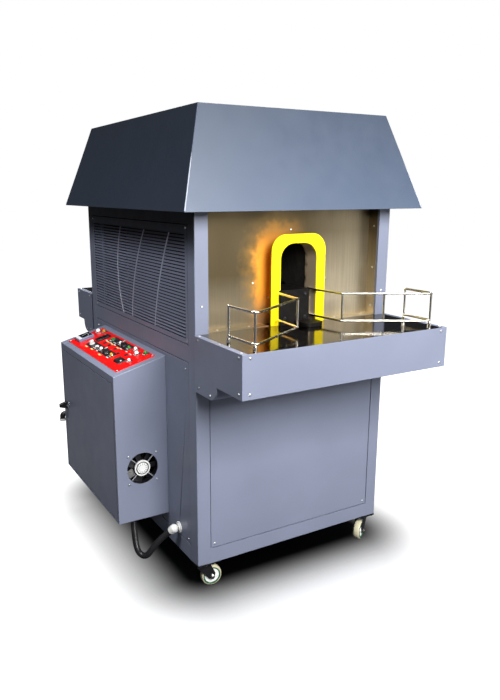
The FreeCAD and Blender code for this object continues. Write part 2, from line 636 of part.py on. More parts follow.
def control_box():
    """Welded box: ends, floor, back, and strips round the doorway and round the sloped top's window."""
    inside = (BOX_Y[0] + SHEET, BOX_Y[1] - SHEET)
    below_top = box_prism(inside, SHEET / math.cos(SLOPE))
    fan_x = BOX_X + FAN_IN
    fan_hole = rod((fan_x, BOX_Y[0] - 5, FAN_Z), (fan_x, inside[0], FAN_Z), FAN_BORE + 1)
    mains_hole = rod((MAINS[0], inside[1] - 5, MAINS[2]), MAINS, THREAD_R + 0.2)
    front = box_prism((BOX_Y[0], inside[0])).cut(fan_hole)
    rear = box_prism((inside[1], BOX_Y[1])).cut(mains_hole)
    floor = block((BOX_X, -HALF_W), inside, (BOX_Z, BOX_Z + SHEET))
    floor = floor.cut(rod((*BOX_END[:2], BOX_Z - 5), (*BOX_END[:2], BOX_Z + 5), THREAD_R + 0.2))
    upright = (BOX_Z + SHEET, BOX_TOP + BOX_RISE)
    back = block((-HALF_W - SHEET, -HALF_W), inside, upright).common(below_top)
    doorway = ((DOOR_Y[0] - SEAM, DOOR_Y[1] + SEAM), (DOOR_Z[0] - SEAM, DOOR_Z[1] + SEAM))
    strips = surround((inside, upright), doorway)
    side = [block((BOX_X, BOX_X + SHEET), y, z).common(below_top) for y, z in strips]
    window = ((PLATE_V[0] + 8, PLATE_V[1] - 8), (PLATE_Y[0] + 8, PLATE_Y[1] - 8))
    lid = box_prism(inside)
    top = [on_slope(block(v, y, (-SHEET, 0)), 0, 0).common(lid)
           for v, y in surround(((-10, BOX_W + BOX_RISE), inside), window)]
    return [front, rear, floor, back, *side, *top, *pivot_bushes()]


def pivot_bushes():
    """Blocks above and below the doorway that hold the door's pivot pins."""
    x, y = PIVOT
    bushes = []
    for low, high in ((BOX_Z + SHEET, DOOR_Z[0] - SEAM), (DOOR_Z[1] + SEAM, DOOR_Z[1] + SEAM + 14)):
        bush = block((BOX_X + SHEET, x + 8), (y - 10, y + 10), (low, high))
        bushes.append(bush.cut(rod((x, y, low - 1), (x, y, high + 1), PIVOT_R + RUN)))
    return bushes


def box_door():
    """Folded door with pivot pins at its front corner and a hole for the latch."""
    door = flat_panel((BOX_X, BOX_X + DOOR_DEPTH), DOOR_Y, DOOR_Z, 0, -1)
    x, y = PIVOT
    pieces = [door]
    for low, high, pin_end in ((DOOR_Z[0], DOOR_Z[0] + 20, BOX_Z + SHEET + 0.5),
                               (DOOR_Z[1] - 20, DOOR_Z[1], DOOR_Z[1] + 12)):
        pieces.append(block((BOX_X + 1, x + 5), (DOOR_Y[0] + 0.5, y + 6), (low, high)))
        pieces.append(rod((x, y, (low + high) / 2), (x, y, pin_end), PIVOT_R))
    hole = rod((BOX_X - 5, *LATCH), (BOX_X + 20, *LATCH), 5 + RUN)
    return joined(pieces).cut(hole)


def door_latch():
    """Wing knob outside, shaft through the door, cam inside. The cam hangs down when unlocked."""
    y, z = LATCH
    rosette = rod((BOX_X - 4, y, z), (BOX_X - 0.5, y, z), 15)
    shaft = rod((BOX_X - 2, y, z), (BOX_X + 16, y, z), 5)
    wing = prism([(BOX_X - 3, y - 6, z - 17), (BOX_X - 3, y - 6, z + 17), (BOX_X - LATCH_OUT, y - 6, z + 7),
                  (BOX_X - LATCH_OUT, y - 6, z - 7)], (0, 12, 0))
    cam = block((BOX_X + 13.5, BOX_X + 16), (y - 7, y + 7), (z - 46, z + 7))
    return joined([rosette, shaft, wing, cam])


def electrical_plate():
    """Mounting plate on the box's back wall with relays and a contactor on a rail."""
    back = -HALF_W - SHEET
    pieces = [block((back - 3, back), (-200, 290), (260, 690)),
              block((back - 10, back - 2), (-180, 270), (540, 575))]
    for index, (width, height) in enumerate(((60, 80), (60, 80), (36, 70), (36, 70), (90, 100))):
        y = -150 + index * 85
        pieces.append(block((back - 62, back - 9), (y, y + width), (557 - height / 2, 557 + height / 2)))
    pieces.append(block((back - 45, back - 2), (-170, 60), (300, 420)))
    return joined(pieces)


def fan_frame():
    """Square fan body with four struts and the motor hub in the mouth of the bore."""
    x, y0, z = BOX_X + FAN_IN, BOX_Y[0] + SHEET, FAN_Z
    body = block((x - FAN_HALF, x + FAN_HALF), (y0, y0 + 25), (z - FAN_HALF, z + FAN_HALF))
    body = body.cut(rod((x, y0 - 1, z), (x, y0 + 26, z), FAN_BORE))
    pieces = [body, rod((x, y0, z), (x, y0 + 8, z), FAN_HUB), rod((x, y0 + 8, z), (x, y0 + 22, z), 3)]
    for quarter in range(4):
        strut = block((x + FAN_HUB - 4, x + FAN_BORE + 1), (y0, y0 + 3), (z - 2.5, z + 2.5))
        strut.rotate(V(x, y0, z), Y_AXIS, 45 + quarter * 90)
        pieces.append(strut)
    return joined(pieces)


def fan_impeller():
    x, y0, z = BOX_X + FAN_IN, BOX_Y[0] + SHEET + 9, FAN_Z
    pieces = [rod((x, y0, z), (x, y0 + 15, z), 20)]
    for blade_index in range(7):
        blade = block((x + 18, x + FAN_BORE - 1.5), (y0 + 6, y0 + 7.5), (z - 13, z + 13))
        blade.rotate(V(x + 35, y0 + 7, z), X_AXIS, 24)
        blade = blade.common(block((x, x + 60), (y0 + 0.5, y0 + 14.5), (z - 30, z + 30)))
        blade.rotate(V(x, y0, z), Y_AXIS, blade_index * 360 / 7)
        pieces.append(blade)
    disc = rod((x, y0, z), (x, y0 + 15, z), FAN_BORE - 1.5)
    bore = rod((x, y0 - 1, z), (x, y0 + 14, z), 3 + RUN)
    return joined(pieces).common(disc).cut(bore)


def box_gland():
    """Straight gland under the box; the conduit's end stands against its lower face."""
    x, y, low = BOX_END
    pieces = [rod((x, y, low), (x, y, BOX_Z), 15), rod((x, y, BOX_Z - 8), (x, y, BOX_Z), 19),
              rod((x, y, low), (x, y, BOX_Z + 8), THREAD_R)]
    return joined(pieces).cut(rod((x, y, low - 1), (x, y, BOX_Z + 10), GLAND_BORE))


def elbow_gland():
    """Elbow gland on the base, turned to the conduit's end."""
    wall = (-HALF_W, ELBOW[1], ELBOW[2])
    inside = (-HALF_W + 8, ELBOW[1], ELBOW[2])
    pieces = [Part.makeSphere(16, V(*ELBOW)), rod(wall, ELBOW, 14), rod(wall, (-HALF_W - 5, *ELBOW[1:]), 19),
              rod(ELBOW, CONDUIT[-1], 15), rod(inside, ELBOW, THREAD_R)]
    return joined(pieces).cut(rod(inside, ELBOW, GLAND_BORE)).cut(rod(ELBOW, CONDUIT[-1], GLAND_BORE))


def mains_gland():
    """Elbow gland through the box's rear wall, turned down, with a compression nut."""
    bend = V(MAINS[0], BOX_Y[1] + MAINS_OUT[1], MAINS[2])
    turn = V(BOX_X + MAINS_OUT[0], bend.y, bend.z)
    low = V(turn.x, turn.y, MAINS_LOW)
    start, inner = V(*MAINS), V(*MAINS) - V(0, 8, 0)
    pieces = [rod(start, start + V(0, 5, 0), 17), rod(inner, start, THREAD_R), rod(start, bend, 11),
              rod(bend, turn, 11), rod(turn, low + V(0, 0, 10), 11), rod(low, low + V(0, 0, 10), 13),
              Part.makeSphere(11.5, bend), Part.makeSphere(11.5, turn)]
    gland = joined(pieces)
    for a, b in ((inner, bend), (bend, turn), (turn, low)):
        gland = gland.cut(rod(a, b, GLAND_BORE))
    return gland


def conduit():
    """Round tube along the route: straight runs joined by arcs as large as the runs allow."""
    points = [V(*p) for p in CONDUIT]
    path, _, radii = rounded_path(points, lambda before, after, turn: 0.45 * min(before, after))
    tube = swept_rod(path, points, CONDUIT_R)
    exact = math.pi * CONDUIT_R ** 2 * path.Length
    print("conduit length", round(path.Length, 1), "radii", [round(r) for r in radii],
          "volume ratio", round(tube.Volume / exact, 4))
    return tube


# ---- red panel -----------------------------------------------------------------------------------------

def control_panel():
    plate = block(PLATE_V, PLATE_Y, (0, PLATE_T))
    holes = [rod((v, y, -5), (v, y, 5), 3 + RUN) for v, y, _ in KNOBS.values()]
    holes += [rod((v, y, -5), (v, y, 5), BUTTON_R + 0.3) for v, y in BUTTONS.values()]
    v, y, half_y, half_v = ROCKER
    holes.append(block((v - half_v - 1, v + half_v + 1), (y - half_y - 1.5, y + half_y + 1.5), (-5, 5)))
    return on_slope(plate.cut(Part.makeCompound(holes)), 0, 0)


def knob(v, y, radius):
    """Fluted skirted knob with a pointer rib and a shaft."""
    grip = rod((0, 0, PLATE_T + 0.5), (0, 0, PLATE_T + 15), radius * 0.8)
    skirt = rod((0, 0, PLATE_T + 0.5), (0, 0, PLATE_T + 4), radius)
    rib = block((-1.5, radius * 0.8), (-1.5, 1.5), (PLATE_T + 14, PLATE_T + 17))
    shaft = rod((0, 0, -12), (0, 0, PLATE_T + 2), 3)
    return on_slope(joined([grip, skirt, rib, shaft]), v, y)


def push_button(v, y):
    return on_slope(rod((0, 0, -10), (0, 0, PLATE_T + 6), BUTTON_R), v, y)


def main_switch():
    """Rocker cap that stands tipped to its on side."""
    v, y, half_y, half_v = ROCKER
    cap = prism([(-half_v, -half_y, -7), (-half_v, half_y, -7), (-half_v, half_y, PLATE_T + 6),
                 (-half_v, 0, PLATE_T + 3), (-half_v, -half_y, PLATE_T + 6)], (2 * half_v, 0, 0))
    cap.rotate(V(0, 0, PLATE_T), X_AXIS, ROCKER_TILT)
    return on_slope(cap, v, y)


def panel_meter():
    v, y, half = METER
    body = block((-half, half), (-half, half), (PLATE_T, PLATE_T + 16))
    return on_slope(body, v, y)


def panel_display():
    v, y, half_v, half_y = DISPLAY
    return on_slope(block((-half_v, half_v), (-half_y, half_y), (PLATE_T, PLATE_T + 8)), v, y)


def indicator_lamps():
    lamps = []
    for v, y, radius in LAMPS:
        stem = rod((0, 0, PLATE_T), (0, 0, PLATE_T + 5), radius)
        upper_half = block((-9, 9), (-9, 9), (PLATE_T + 4, 30))
        dome = Part.makeSphere(radius, V(0, 0, PLATE_T + 5)).common(upper_half)
        lamps.append(on_slope(joined([stem, dome]), v, y))
    return lamps


# ---- casters -------------------------------------------------------------------------------------------

def caster_plates():
    """Top plate of each caster with its four bolt heads."""
    plates = []
    for sx, sy in CORNERS.values():
        x, y = sx * CASTER_X, sy * CASTER_Y
        sides = (x - PLATE_HALF, x + PLATE_HALF), (y - PLATE_HALF, y + PLATE_HALF)
        plate = block(*sides, (BASE_Z - 6, BASE_Z))
        heads = [rod((x + bx, y + by, BASE_Z - 10), (x + bx, y + by, BASE_Z - 5), 5)
                 for bx in (-BOLT_AT, BOLT_AT) for by in (-BOLT_AT, BOLT_AT)]
        hole = rod((x, y, 0), (x, y, BASE_Z + 1), KINGPIN_R + RUN)
        plates.append(joined([plate, *heads]).cut(hole))
    return plates


def placed_caster(shape, corner):
    """Moves a caster piece built about the swivel axis to its corner, trailing the way it stands."""
    sx, sy = CORNERS[corner]
    placed = shape.copy()
    placed.rotate(V(0, 0, 0), Z_AXIS, CASTER_TURN[corner])
    placed.translate(V(sx * CASTER_X, sy * CASTER_Y, 0))
    return placed


def caster_fork():
    """Swivel race, king pin, bridge, two cheeks and the axle bolt, about the swivel axis."""
    inner, cheek = WHEEL_W / 2 + 1, 3.0
    pieces = [rod((0, 0, 84), (0, 0, BASE_Z - 6.3), 25), rod((0, 0, 88), (0, 0, BASE_Z - 0.5), KINGPIN_R),
              block((-24, 24), (-inner - cheek, inner + cheek), (80, 86))]
    for sign in SIGNS:
        y = inner if sign > 0 else -inner - cheek
        outline = [(-24, y, 86), (24, y, 86), (TRAIL + 11, y, 50), (TRAIL + 9, y, 29), (TRAIL - 9, y, 29),
                   (-22, y, 76)]
        pieces.append(prism(outline, (0, cheek, 0)))
    end = inner + cheek + 4
    pieces.append(rod((TRAIL, -end, WHEEL_R), (TRAIL, end, WHEEL_R), AXLE_R))
    for sign in SIGNS:
        pieces.append(rod((TRAIL, sign * (end - 4), WHEEL_R), (TRAIL, sign * end, WHEEL_R), 8))
    return joined(pieces)


def caster_wheel():
    """Wheel with a rounded tread and dished sides, bored for the axle."""
    half = WHEEL_W / 2
    rim = WHEEL_R - 9
    outline = [(AXLE_R + RUN, half), (12, half), (15, half - 4), (rim - 3, half - 4), (rim, half - 1),
               (WHEEL_R - 3, half - 2), (WHEEL_R, half - 6)]
    points = [V(r, w, 0) for r, w in outline] + [V(r, -w, 0) for r, w in reversed(outline)]
    wheel = Part.Face(Part.makePolygon(points + points[:1])).revolve(V(0, 0, 0), Y_AXIS, 360)
    wheel.translate(V(TRAIL, 0, WHEEL_R))
    return wheel


# ---- screws --------------------------------------------------------------------------------------------

def screw_places():
    """(point, outward direction) of every pan head on the sheet metal."""
    places = []
    base_z = (BASE_Z + BASE_RAIL_H + 17, BELT_Z[0] - 27)
    grille_z = (BELT_Z[1] + 10, TOP_RAIL_Z[0] - 12)
    for s in SIGNS:
        for t in SIGNS:
            places += [((t * (HALF_W - POST - 17), s * HALF_D, z), V(0, s, 0)) for z in base_z]
            places += [((s * HALF_W, t * (HALF_D - POST - 26), z), V(s, 0, 0)) for z in base_z]
            places += [((s * HALF_W, t * (HALF_D - POST - 13), z), V(s, 0, 0)) for z in grille_z]
            places.append(((t * (HALF_W - POST / 2), s * HALF_D, 1003), V(0, s, 0)))
            wall_x = t * (HALF_W - POST - SHEET)
            places += [((wall_x, s * (HALF_D - 25), z), V(-t, 0, 0)) for z in (946, 1086, 1235)]
            places += [((t * 150, s * PANEL_Y, 1057), V(0, s, 0))]
            places += [((t * 88, s * PANEL_Y, z), V(0, s, 0)) for z in (952, 1004)]
            places += [((t * x, s * (PANEL_Y + 25), TABLE_Z + SHEET), Z_AXIS) for x in (180, 301)]
        places.append(((0, s * PANEL_Y, 1230), V(0, s, 0)))
        places += tray_screws(s)
    fan_x = BOX_X + FAN_IN
    for sx in SIGNS:
        places += [((fan_x + sx * FAN_SCREW, BOX_Y[0], FAN_Z + sz * FAN_SCREW), V(0, -1, 0)) for sz in SIGNS]
    return places


def tray_screws(s):
    """Screws of the front tray (s = -1) or the rear one (s = 1)."""
    reach, lug = FRONT_TRAY if s < 0 else REAR_TRAY
    near, far = HALF_D + 24, HALF_D + reach - 20
    low, high = TABLE_Z - TRAY_DROP + 16, TABLE_Z - 12
    places = []
    for t in SIGNS:
        side = t * TRAY_W / 2
        lug_screws = ((near + 4, LUG_Z + 20), (HALF_D + lug - 42, LUG_Z + 14))
        for y, z in ((near, high), (far, high), (far, low), *lug_screws):
            places.append(((side, s * y, z), V(t, 0, 0)))
        places += [((t * 373, s * (HALF_D + reach), z), V(0, s, 0)) for z in (low, high)]
        steps = 3 if s < 0 else 2
        for step in range(steps):
            y = near - 6 + step * (far - near + 4) / (steps - 1)
            places.append(((side - t * FLANGE / 2, s * y, TABLE_Z), Z_AXIS))
    return places


def pan_head(point, way):
    return Part.makeCone(SCREW_R, SCREW_R * 0.55, SCREW_H, point, way)


def fasteners():
    heads = [pan_head(V(*point), way) for point, way in screw_places()]
    for v in (PLATE_V[0] + 7, PLATE_V[1] - 7):
        for y in (PLATE_Y[0] + 8, PLATE_Y[1] - 8):
            heads.append(on_slope(pan_head(V(0, 0, PLATE_T), Z_AXIS), v, y))
    return heads


# ---- the whole part ------------------------------------------------------------------------------------

def gas_hole(panel):
    return panel.cut(rod((MANIFOLD_X, HALF_D - 20, INLET_Z), (MANIFOLD_X, HALF_D + 5, INLET_Z), PIPE_R + 0.5))


def gland_hole(panel):
    return panel.cut(rod((-HALF_W - 5, *ELBOW[1:]), (-HALF_W + 20, *ELBOW[1:]), THREAD_R + 0.2))


def all_parts():
    """Every node and its solids, laid out about the middle of the cabinet."""
    front_panel = stainless_panel()
    parts = {
        "base_frame": cabinet_frame(),
        "base_front_panel": [base_end_panel(-1)],
        "base_rear_panel": [gas_hole(base_end_panel(1))],
        "base_left_panel": [gland_hole(base_side_panel(-1))],
        "base_right_panel": [base_side_panel(1)],
        "left_grille": [side_grille(-1)],
        "right_grille": [side_grille(1)],
        "front_panel": [front_panel],
        "rear_panel": [rear_of(front_panel)],
        "hood": hood(),
        "flue_spigot": [flue_spigot()],
        "mouth_frames": [mouth_frame(), rear_of(mouth_frame())],
        "mouth_sleeves": [mouth_sleeve(), rear_of(mouth_sleeve())],
        "chamber_casing": chamber_casing(),
        "refractory_lining": refractory_lining(),
        "hearth_plate": [hearth_plate()],
        "burners": burners(),
        "gas_manifold": [gas_manifold()],
        "gas_inlet": [gas_inlet()],
        "gas_cock_lever": [gas_cock_lever()],
        "blower_housing": [blower_housing()],
        "blower_impeller": [blower_impeller()],
        "air_duct": [air_duct()],
        "thermocouple": [thermocouple()],
        "front_tray": [tray(*FRONT_TRAY)],
        "front_table": [table(FRONT_TRAY[0])],
        "rear_tray": [rear_of(tray(*REAR_TRAY))],
        "rear_table": [rear_of(table(REAR_TRAY[0]))],
        "guard_left": [guard(GUARDS["guard_left"], False)],
        "guard_right": [guard(GUARDS["guard_right"], True)],
        "work_carriage": [work_carriage()],
        "control_box": control_box(),
        "box_door": [box_door()],
        "door_latch": [door_latch()],
        "electrical_plate": [electrical_plate()],
        "fan_frame": [fan_frame()],
        "fan_impeller": [fan_impeller()],
        "cable_glands": [box_gland(), elbow_gland(), mains_gland()],
        "conduit": [conduit()],
        "control_panel": [control_panel()],
        "main_switch": [main_switch()],
        "panel_meter": [panel_meter()],
        "panel_display": [panel_display()],
        "indicator_lamps": indicator_lamps(),
        "caster_plates": caster_plates(),
        "fasteners": fasteners(),
    }
    for name, place in KNOBS.items():
        parts[name] = [knob(*place)]
    for name, place in BUTTONS.items():
        parts[name] = [push_button(*place)]
    for corner in CORNERS:
        parts[f"caster_fork_{corner}"] = [placed_caster(caster_fork(), corner)]
        parts[f"caster_wheel_{corner}"] = [placed_caster(caster_wheel(), corner)]
    return parts


os.makedirs("parts", exist_ok=True)
for node, solids in all_parts().items():
    shape = solids[0] if len(solids) == 1 else Part.makeCompound(solids)
    shape.translate(-ORIGIN)
    shape.exportStep(f"parts/{node}.step")
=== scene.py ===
import json
import math
import random

import bmesh
import bpy
import numpy as np
from mathutils import Matrix, Vector

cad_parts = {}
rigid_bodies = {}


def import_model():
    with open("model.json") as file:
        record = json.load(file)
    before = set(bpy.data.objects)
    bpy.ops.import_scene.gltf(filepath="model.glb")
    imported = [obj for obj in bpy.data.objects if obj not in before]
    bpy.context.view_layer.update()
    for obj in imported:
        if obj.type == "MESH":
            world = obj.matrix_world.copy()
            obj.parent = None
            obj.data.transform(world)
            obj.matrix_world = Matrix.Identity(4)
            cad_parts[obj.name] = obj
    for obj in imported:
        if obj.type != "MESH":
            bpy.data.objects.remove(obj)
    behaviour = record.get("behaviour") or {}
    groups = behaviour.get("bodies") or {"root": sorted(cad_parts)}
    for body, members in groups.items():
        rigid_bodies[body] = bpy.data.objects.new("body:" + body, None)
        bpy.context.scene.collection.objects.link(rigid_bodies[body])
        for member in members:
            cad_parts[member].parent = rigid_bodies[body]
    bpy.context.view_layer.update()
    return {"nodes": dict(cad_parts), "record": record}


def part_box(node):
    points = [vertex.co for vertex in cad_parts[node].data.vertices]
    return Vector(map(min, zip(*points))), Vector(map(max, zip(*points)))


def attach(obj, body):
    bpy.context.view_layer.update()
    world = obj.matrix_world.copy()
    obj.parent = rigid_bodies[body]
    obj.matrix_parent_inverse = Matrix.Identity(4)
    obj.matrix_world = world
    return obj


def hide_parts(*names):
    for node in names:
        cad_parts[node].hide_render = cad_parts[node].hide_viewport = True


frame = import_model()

MM = 0.001
BODY_OF = {node: body for body, nodes in frame["record"]["behaviour"]["bodies"].items() for node in nodes}
MIDDLE = {name: sum(corner[at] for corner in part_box("base_frame")) / 2 for at, name in enumerate("XY")}


# ---- the cabinet's measures ----

HALF_W, HALF_D = 395, 509
BASE_Z, HOOD_Z, HOOD_TOP = 100, 1298, 1613
HOOD_FOOT = (467, 593)            # half width and half depth of the hood's lower edge
HOOD_CROWN = (369, 492)
HOOD_LIP, HOOD_WALL = 15, 2.1     # the lip's width, and the sheet as the sloping walls cut it level
RIDGE_IN, RIDGE_R = 2.4, 2.2      # the ridges' beads: how far in from the corner, and their radius
FLUE = (0, 120)
SHEET = 2

GRILLE_HALF = 458
GRILLE_Z = (875, 1255)
GRILLE_MARGIN, SLOT_PITCH, SLOT_H, GRILLE_RIB = 16, 11, 5, 9
GRILLE_FOOT = 900
LOUVRE_LIP = ((-0.8, 0.7), (0.1, 1.4), (1.3, 0.5), (0.6, 0))      # (outward, above the slot)
GRILLE_RIBS = ((-193, -0.18, -0.0007), (23, -0.06, -0.0011), (122, 0.55, -0.0017), (339, 0, 0))

GUARD_Z, GUARD_BEND = (936, 1027), 14
TABLE_Z = 914
GUARDS = {"guard_left": ((-89, -520), (-101, -650), (-352, -800), (-358, -656)),
          "guard_right": ((69, -466), (69, -514), (90, -632), (356, -788), (353, -648))}

BOX_X, BOX_Y = -589, (-274, 354)
BOX_Z, BOX_TOP, BOX_RISE = 201, 746, 53.5
SLOPE = math.atan2(BOX_RISE, -HALF_W - BOX_X)
DOOR_Y, DOOR_Z = (-258, 334), (211, 718)
SEAM = 3
LATCH = (301, 488)
FAN = (BOX_X + 96, 397)
FAN_BORE = 57.5
PLATE_V, PLATE_Y, PLATE_T = (24.6, 176.6), (-240, 320), 2
BOX_END = (-508, -203, 176)
BASE_END = (-423.5, -352, 171)
MAINS = (-570, 354, 427)
GLAND_BORE = 9.2
ELBOW_ARM = 18

CASTERS = {"fl": (-360, -474, -8), "fr": (360, -474, 213.5), "rl": (-360, 474, 160), "rr": (360, 474, 75)}
WHEEL_R, TRAIL = 37.5, 30


# ---- shaders ----

class Shader:
    """A node material built round one Principled BSDF, with textures in the row frame's metres."""

    def __init__(self, name, colour, roughness=0.5, metallic=0.0, **sockets):
        self.material = bpy.data.materials.new(name)
        self.material.use_nodes = True
        self.nodes = self.material.node_tree.nodes
        self.bsdf = self.nodes["Principled BSDF"]
        self.bsdf.inputs["Base Color"].default_value = (*colour, 1)
        self.bsdf.inputs["Roughness"].default_value = roughness
        self.bsdf.inputs["Metallic"].default_value = metallic
        for socket, value in sockets.items():
            self.bsdf.inputs[socket.replace("_", " ")].default_value = value
        self.place = self.node("TexCoord", (), "Object")

    def put(self, socket, value):
        """Links a node output, or sets a plain value."""
        if isinstance(value, bpy.types.NodeSocket):
            self.material.node_tree.links.new(value, socket)
        else:
            socket.default_value = (*value, 1) if socket.type == "RGBA" else value

    def to(self, name, value):
        self.put(self.bsdf.inputs[name], value)
        return self

    def node(self, kind, inputs, output=0, **settings):
        """One output of a new node; its inputs come in order, or by name or number."""
        node = self.nodes.new("ShaderNode" + kind)
        for name, value in settings.items():
            setattr(node, name, value)
        for name, value in inputs.items() if isinstance(inputs, dict) else enumerate(inputs):
            self.put(node.inputs[name], value)
        return node.outputs[output]

    def math(self, operation, *values, clamp=False):
        return self.node("Math", values, operation=operation, use_clamp=clamp)

    def times(self, first, *others):
        """The product of two or more values."""
        for other in others:
            first = self.math("MULTIPLY", first, other)
        return first

    def axis(self, name):
        return self.node("SeparateXYZ", (self.place,), name)

    def off_middle(self, name):
        """Distance from the cabinet's middle along X or Y."""
        return self.math("ABSOLUTE", self.math("SUBTRACT", self.axis(name), MIDDLE[name]))

    def stretched(self, scale):
        """The place coordinates times a factor for each axis."""
        return self.node("VectorMath", (self.place, scale), operation="MULTIPLY")

    def noise(self, scale, detail=3.0, rough=0.5, place=None):
        inputs = {"Vector": place or self.place, "Scale": scale, "Detail": detail, "Roughness": rough}
        return self.node("TexNoise", inputs, "Fac")

    def spread(self, value, low, high, start=0.0, end=1.0, smooth=False):
        """Maps low..high to start..end."""
        inputs = {"Value": value, "From Min": low, "From Max": high, "To Min": start, "To Max": end}
        return self.node("MapRange", inputs, interpolation_type="SMOOTHSTEP" if smooth else "LINEAR")

    def cloud(self, noise, start=0.0, end=1.0):
        """Maps a noise to start..end; most of a noise lies between 0.3 and 0.7."""
        return self.spread(noise, 0.3, 0.7, start, end)

    def mix(self, share, first, second):
        """Blends two colours; 6 and 7 are the mix node's colour inputs and 2 its colour output."""
        return self.node("Mix", {0: share, 6: first, 7: second}, 2, data_type="RGBA")

    def mottled(self, noise, dark, light, smooth, rough):
        """Tone and roughness that follow a noise."""
        self.to("Base Color", self.mix(self.cloud(noise), dark, light))
        return self.to("Roughness", self.cloud(noise, smooth, rough))

    def bump(self, height, distance, strength=1.0):
        inputs = {"Height": height, "Distance": distance, "Strength": strength}
        return self.to("Normal", self.node("Bump", inputs, "Normal"))


def shade(colour, factor):
    return tuple(channel * factor for channel in colour)


def powder_coat(name, colour, roughness=0.42, fade=None, sides_only=False):
    """Satin powder coat: slow cloudy tone, a fine sparkle of grain and an orange-peel surface.

    fade is (low Z, high Z, share of the tone left at the high end): painted shade that darkens the tone
    upwards. With sides_only it darkens just the cabinet's long outer faces, a painted shadow under the hood."""
    paint = Shader(name, colour, roughness, Coat_Weight=0.1, Coat_Roughness=0.3)
    clouds = paint.spread(paint.noise(3.0, 4), 0.35, 0.65)
    grain = paint.spread(paint.noise(900.0, 1), 0.35, 0.7, 0, 0.3)
    tone = paint.mix(clouds, shade(colour, 0.94), shade(colour, 1.05))
    tone = paint.mix(grain, tone, shade(colour, 1.15))
    if fade:
        low, high, left = fade
        # Painted shade: the tone darkens upwards; with sides_only it is a painted shadow under the hood.
        darkening = paint.spread(paint.axis("Z"), low, high, 0, 1 - left)
        if sides_only:
            wall = HALF_W * MM
            darkening = paint.times(darkening, paint.spread(paint.off_middle("X"), wall - 0.0025, wall - 0.0015))
        tone = paint.mix(darkening, tone, (0.008, 0.009, 0.012) if sides_only else (0.02, 0.025, 0.035))
    paint.to("Base Color", tone)
    paint.to("Roughness", paint.cloud(paint.noise(14.0, 5, 0.6), roughness - 0.06, roughness + 0.08))
    return paint.bump(paint.noise(420.0, 2), 0.00022, 0.5).material


def gloss_paint(name, colour, roughness=0.28):
    paint = Shader(name, colour, roughness, Coat_Weight=0.06, Coat_Roughness=0.15, Specular_IOR_Level=0.3)
    paint.to("Base Color", paint.mix(paint.cloud(paint.noise(9.0, 4, 0.6)), shade(colour, 0.9), colour))
    paint.to("Roughness", paint.cloud(paint.noise(30.0, 4), roughness - 0.06, roughness + 0.1))
    return paint.bump(paint.noise(260.0, 2), 0.0002, 0.4).material


def arch_distance(steel):
    """Distance in metres outward from the yellow frame's rounded outline, in the plane of the end panel."""
    low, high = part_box("mouth_frames")
    half, radius = (high.x - low.x) / 2, 56 * MM
    over_x = steel.math("MAXIMUM", steel.math("SUBTRACT", steel.off_middle("X"), half - radius), 0.0)
    over_z = steel.math("MAXIMUM", steel.math("SUBTRACT", steel.axis("Z"), high.z - radius), 0.0)
    squares = steel.math("ADD", steel.times(over_x, over_x), steel.times(over_z, over_z))
    return steel.math("SUBTRACT", steel.math("SQRT", squares), radius)


def stainless_sheet(name):
    """Brushed stainless end panel: darker towards the top, a painted shade under the hood, and darker
    towards the left; orange beside the mouth, partly heat tint and partly a painted reflection of the yellow
    frame.
    """
    base = (0.80, 0.69, 0.49)
    steel = Shader(name, base, 0.4)
    blotches = steel.noise(1.0, 5, 0.55, steel.stretched((9.0, 9.0, 3.0)))
    streaks = steel.noise(1.0, 3, 0.6, steel.stretched((240.0, 240.0, 4.0)))
    tone = steel.mix(steel.cloud(blotches), shade(base, 0.75), shade(base, 1.1))
    tone = steel.mix(steel.spread(streaks, 0.25, 0.75, 0, 0.8), tone, shade(base, 0.6))
    # Darker towards the top, a painted shade under the hood, and darker towards the left.
    leftward = steel.spread(steel.axis("X"), MIDDLE["X"] + 0.30, MIDDLE["X"] - 0.24, smooth=True)
    upward = steel.spread(steel.axis("Z"), 0.98, 1.22, 0.0, 0.78)
    dark_top_and_left = steel.math("ADD", steel.times(leftward, 0.62), upward)
    dark_top_and_left = steel.math("ADD", dark_top_and_left, steel.cloud(blotches, -0.06, 0.06), clamp=True)
    tone = steel.mix(dark_top_and_left, tone, (0.13, 0.10, 0.055))
    ragged = steel.math("ADD", arch_distance(steel), steel.cloud(steel.noise(34.0, 5), -0.014, 0.014))
    left = steel.spread(steel.axis("X"), MIDDLE["X"] + 0.08, MIDDLE["X"] - 0.06, smooth=True)
    under_arch = steel.spread(steel.axis("Z"), 1.24, 1.14, 0.35, 1.0, smooth=True)
    above_table = steel.spread(steel.axis("Z"), 0.93, 1.04, 0.25, 1.0, smooth=True)
    side = steel.times(left, under_arch, above_table)
    # Orange beside the mouth, on its left only: partly heat tint, partly a painted reflection of the yellow
    # frame; it is made less metallic so that it shows.
    heat_tint_and_painted_reflection = steel.times(steel.spread(ragged, 0.052, 0.008, smooth=True), side)
    straw_tint_and_painted_reflection = steel.times(steel.spread(ragged, 0.105, 0.03, 0.0, 0.6, smooth=True), side)
    tone = steel.mix(straw_tint_and_painted_reflection, tone, (0.55, 0.31, 0.08))
    steel.to("Base Color", steel.mix(heat_tint_and_painted_reflection, tone, (0.95, 0.40, 0.04)))
    steel.to("Metallic", steel.spread(heat_tint_and_painted_reflection, 0.0, 1.0, 1.0, 0.25))
    steel.to("Roughness", steel.cloud(blotches, 0.28, 0.42))
    brushed = steel.noise(1.0, 2, 0.5, steel.stretched((1500.0, 1500.0, 12.0)))
    return steel.bump(brushed, 0.00006, 0.5).material


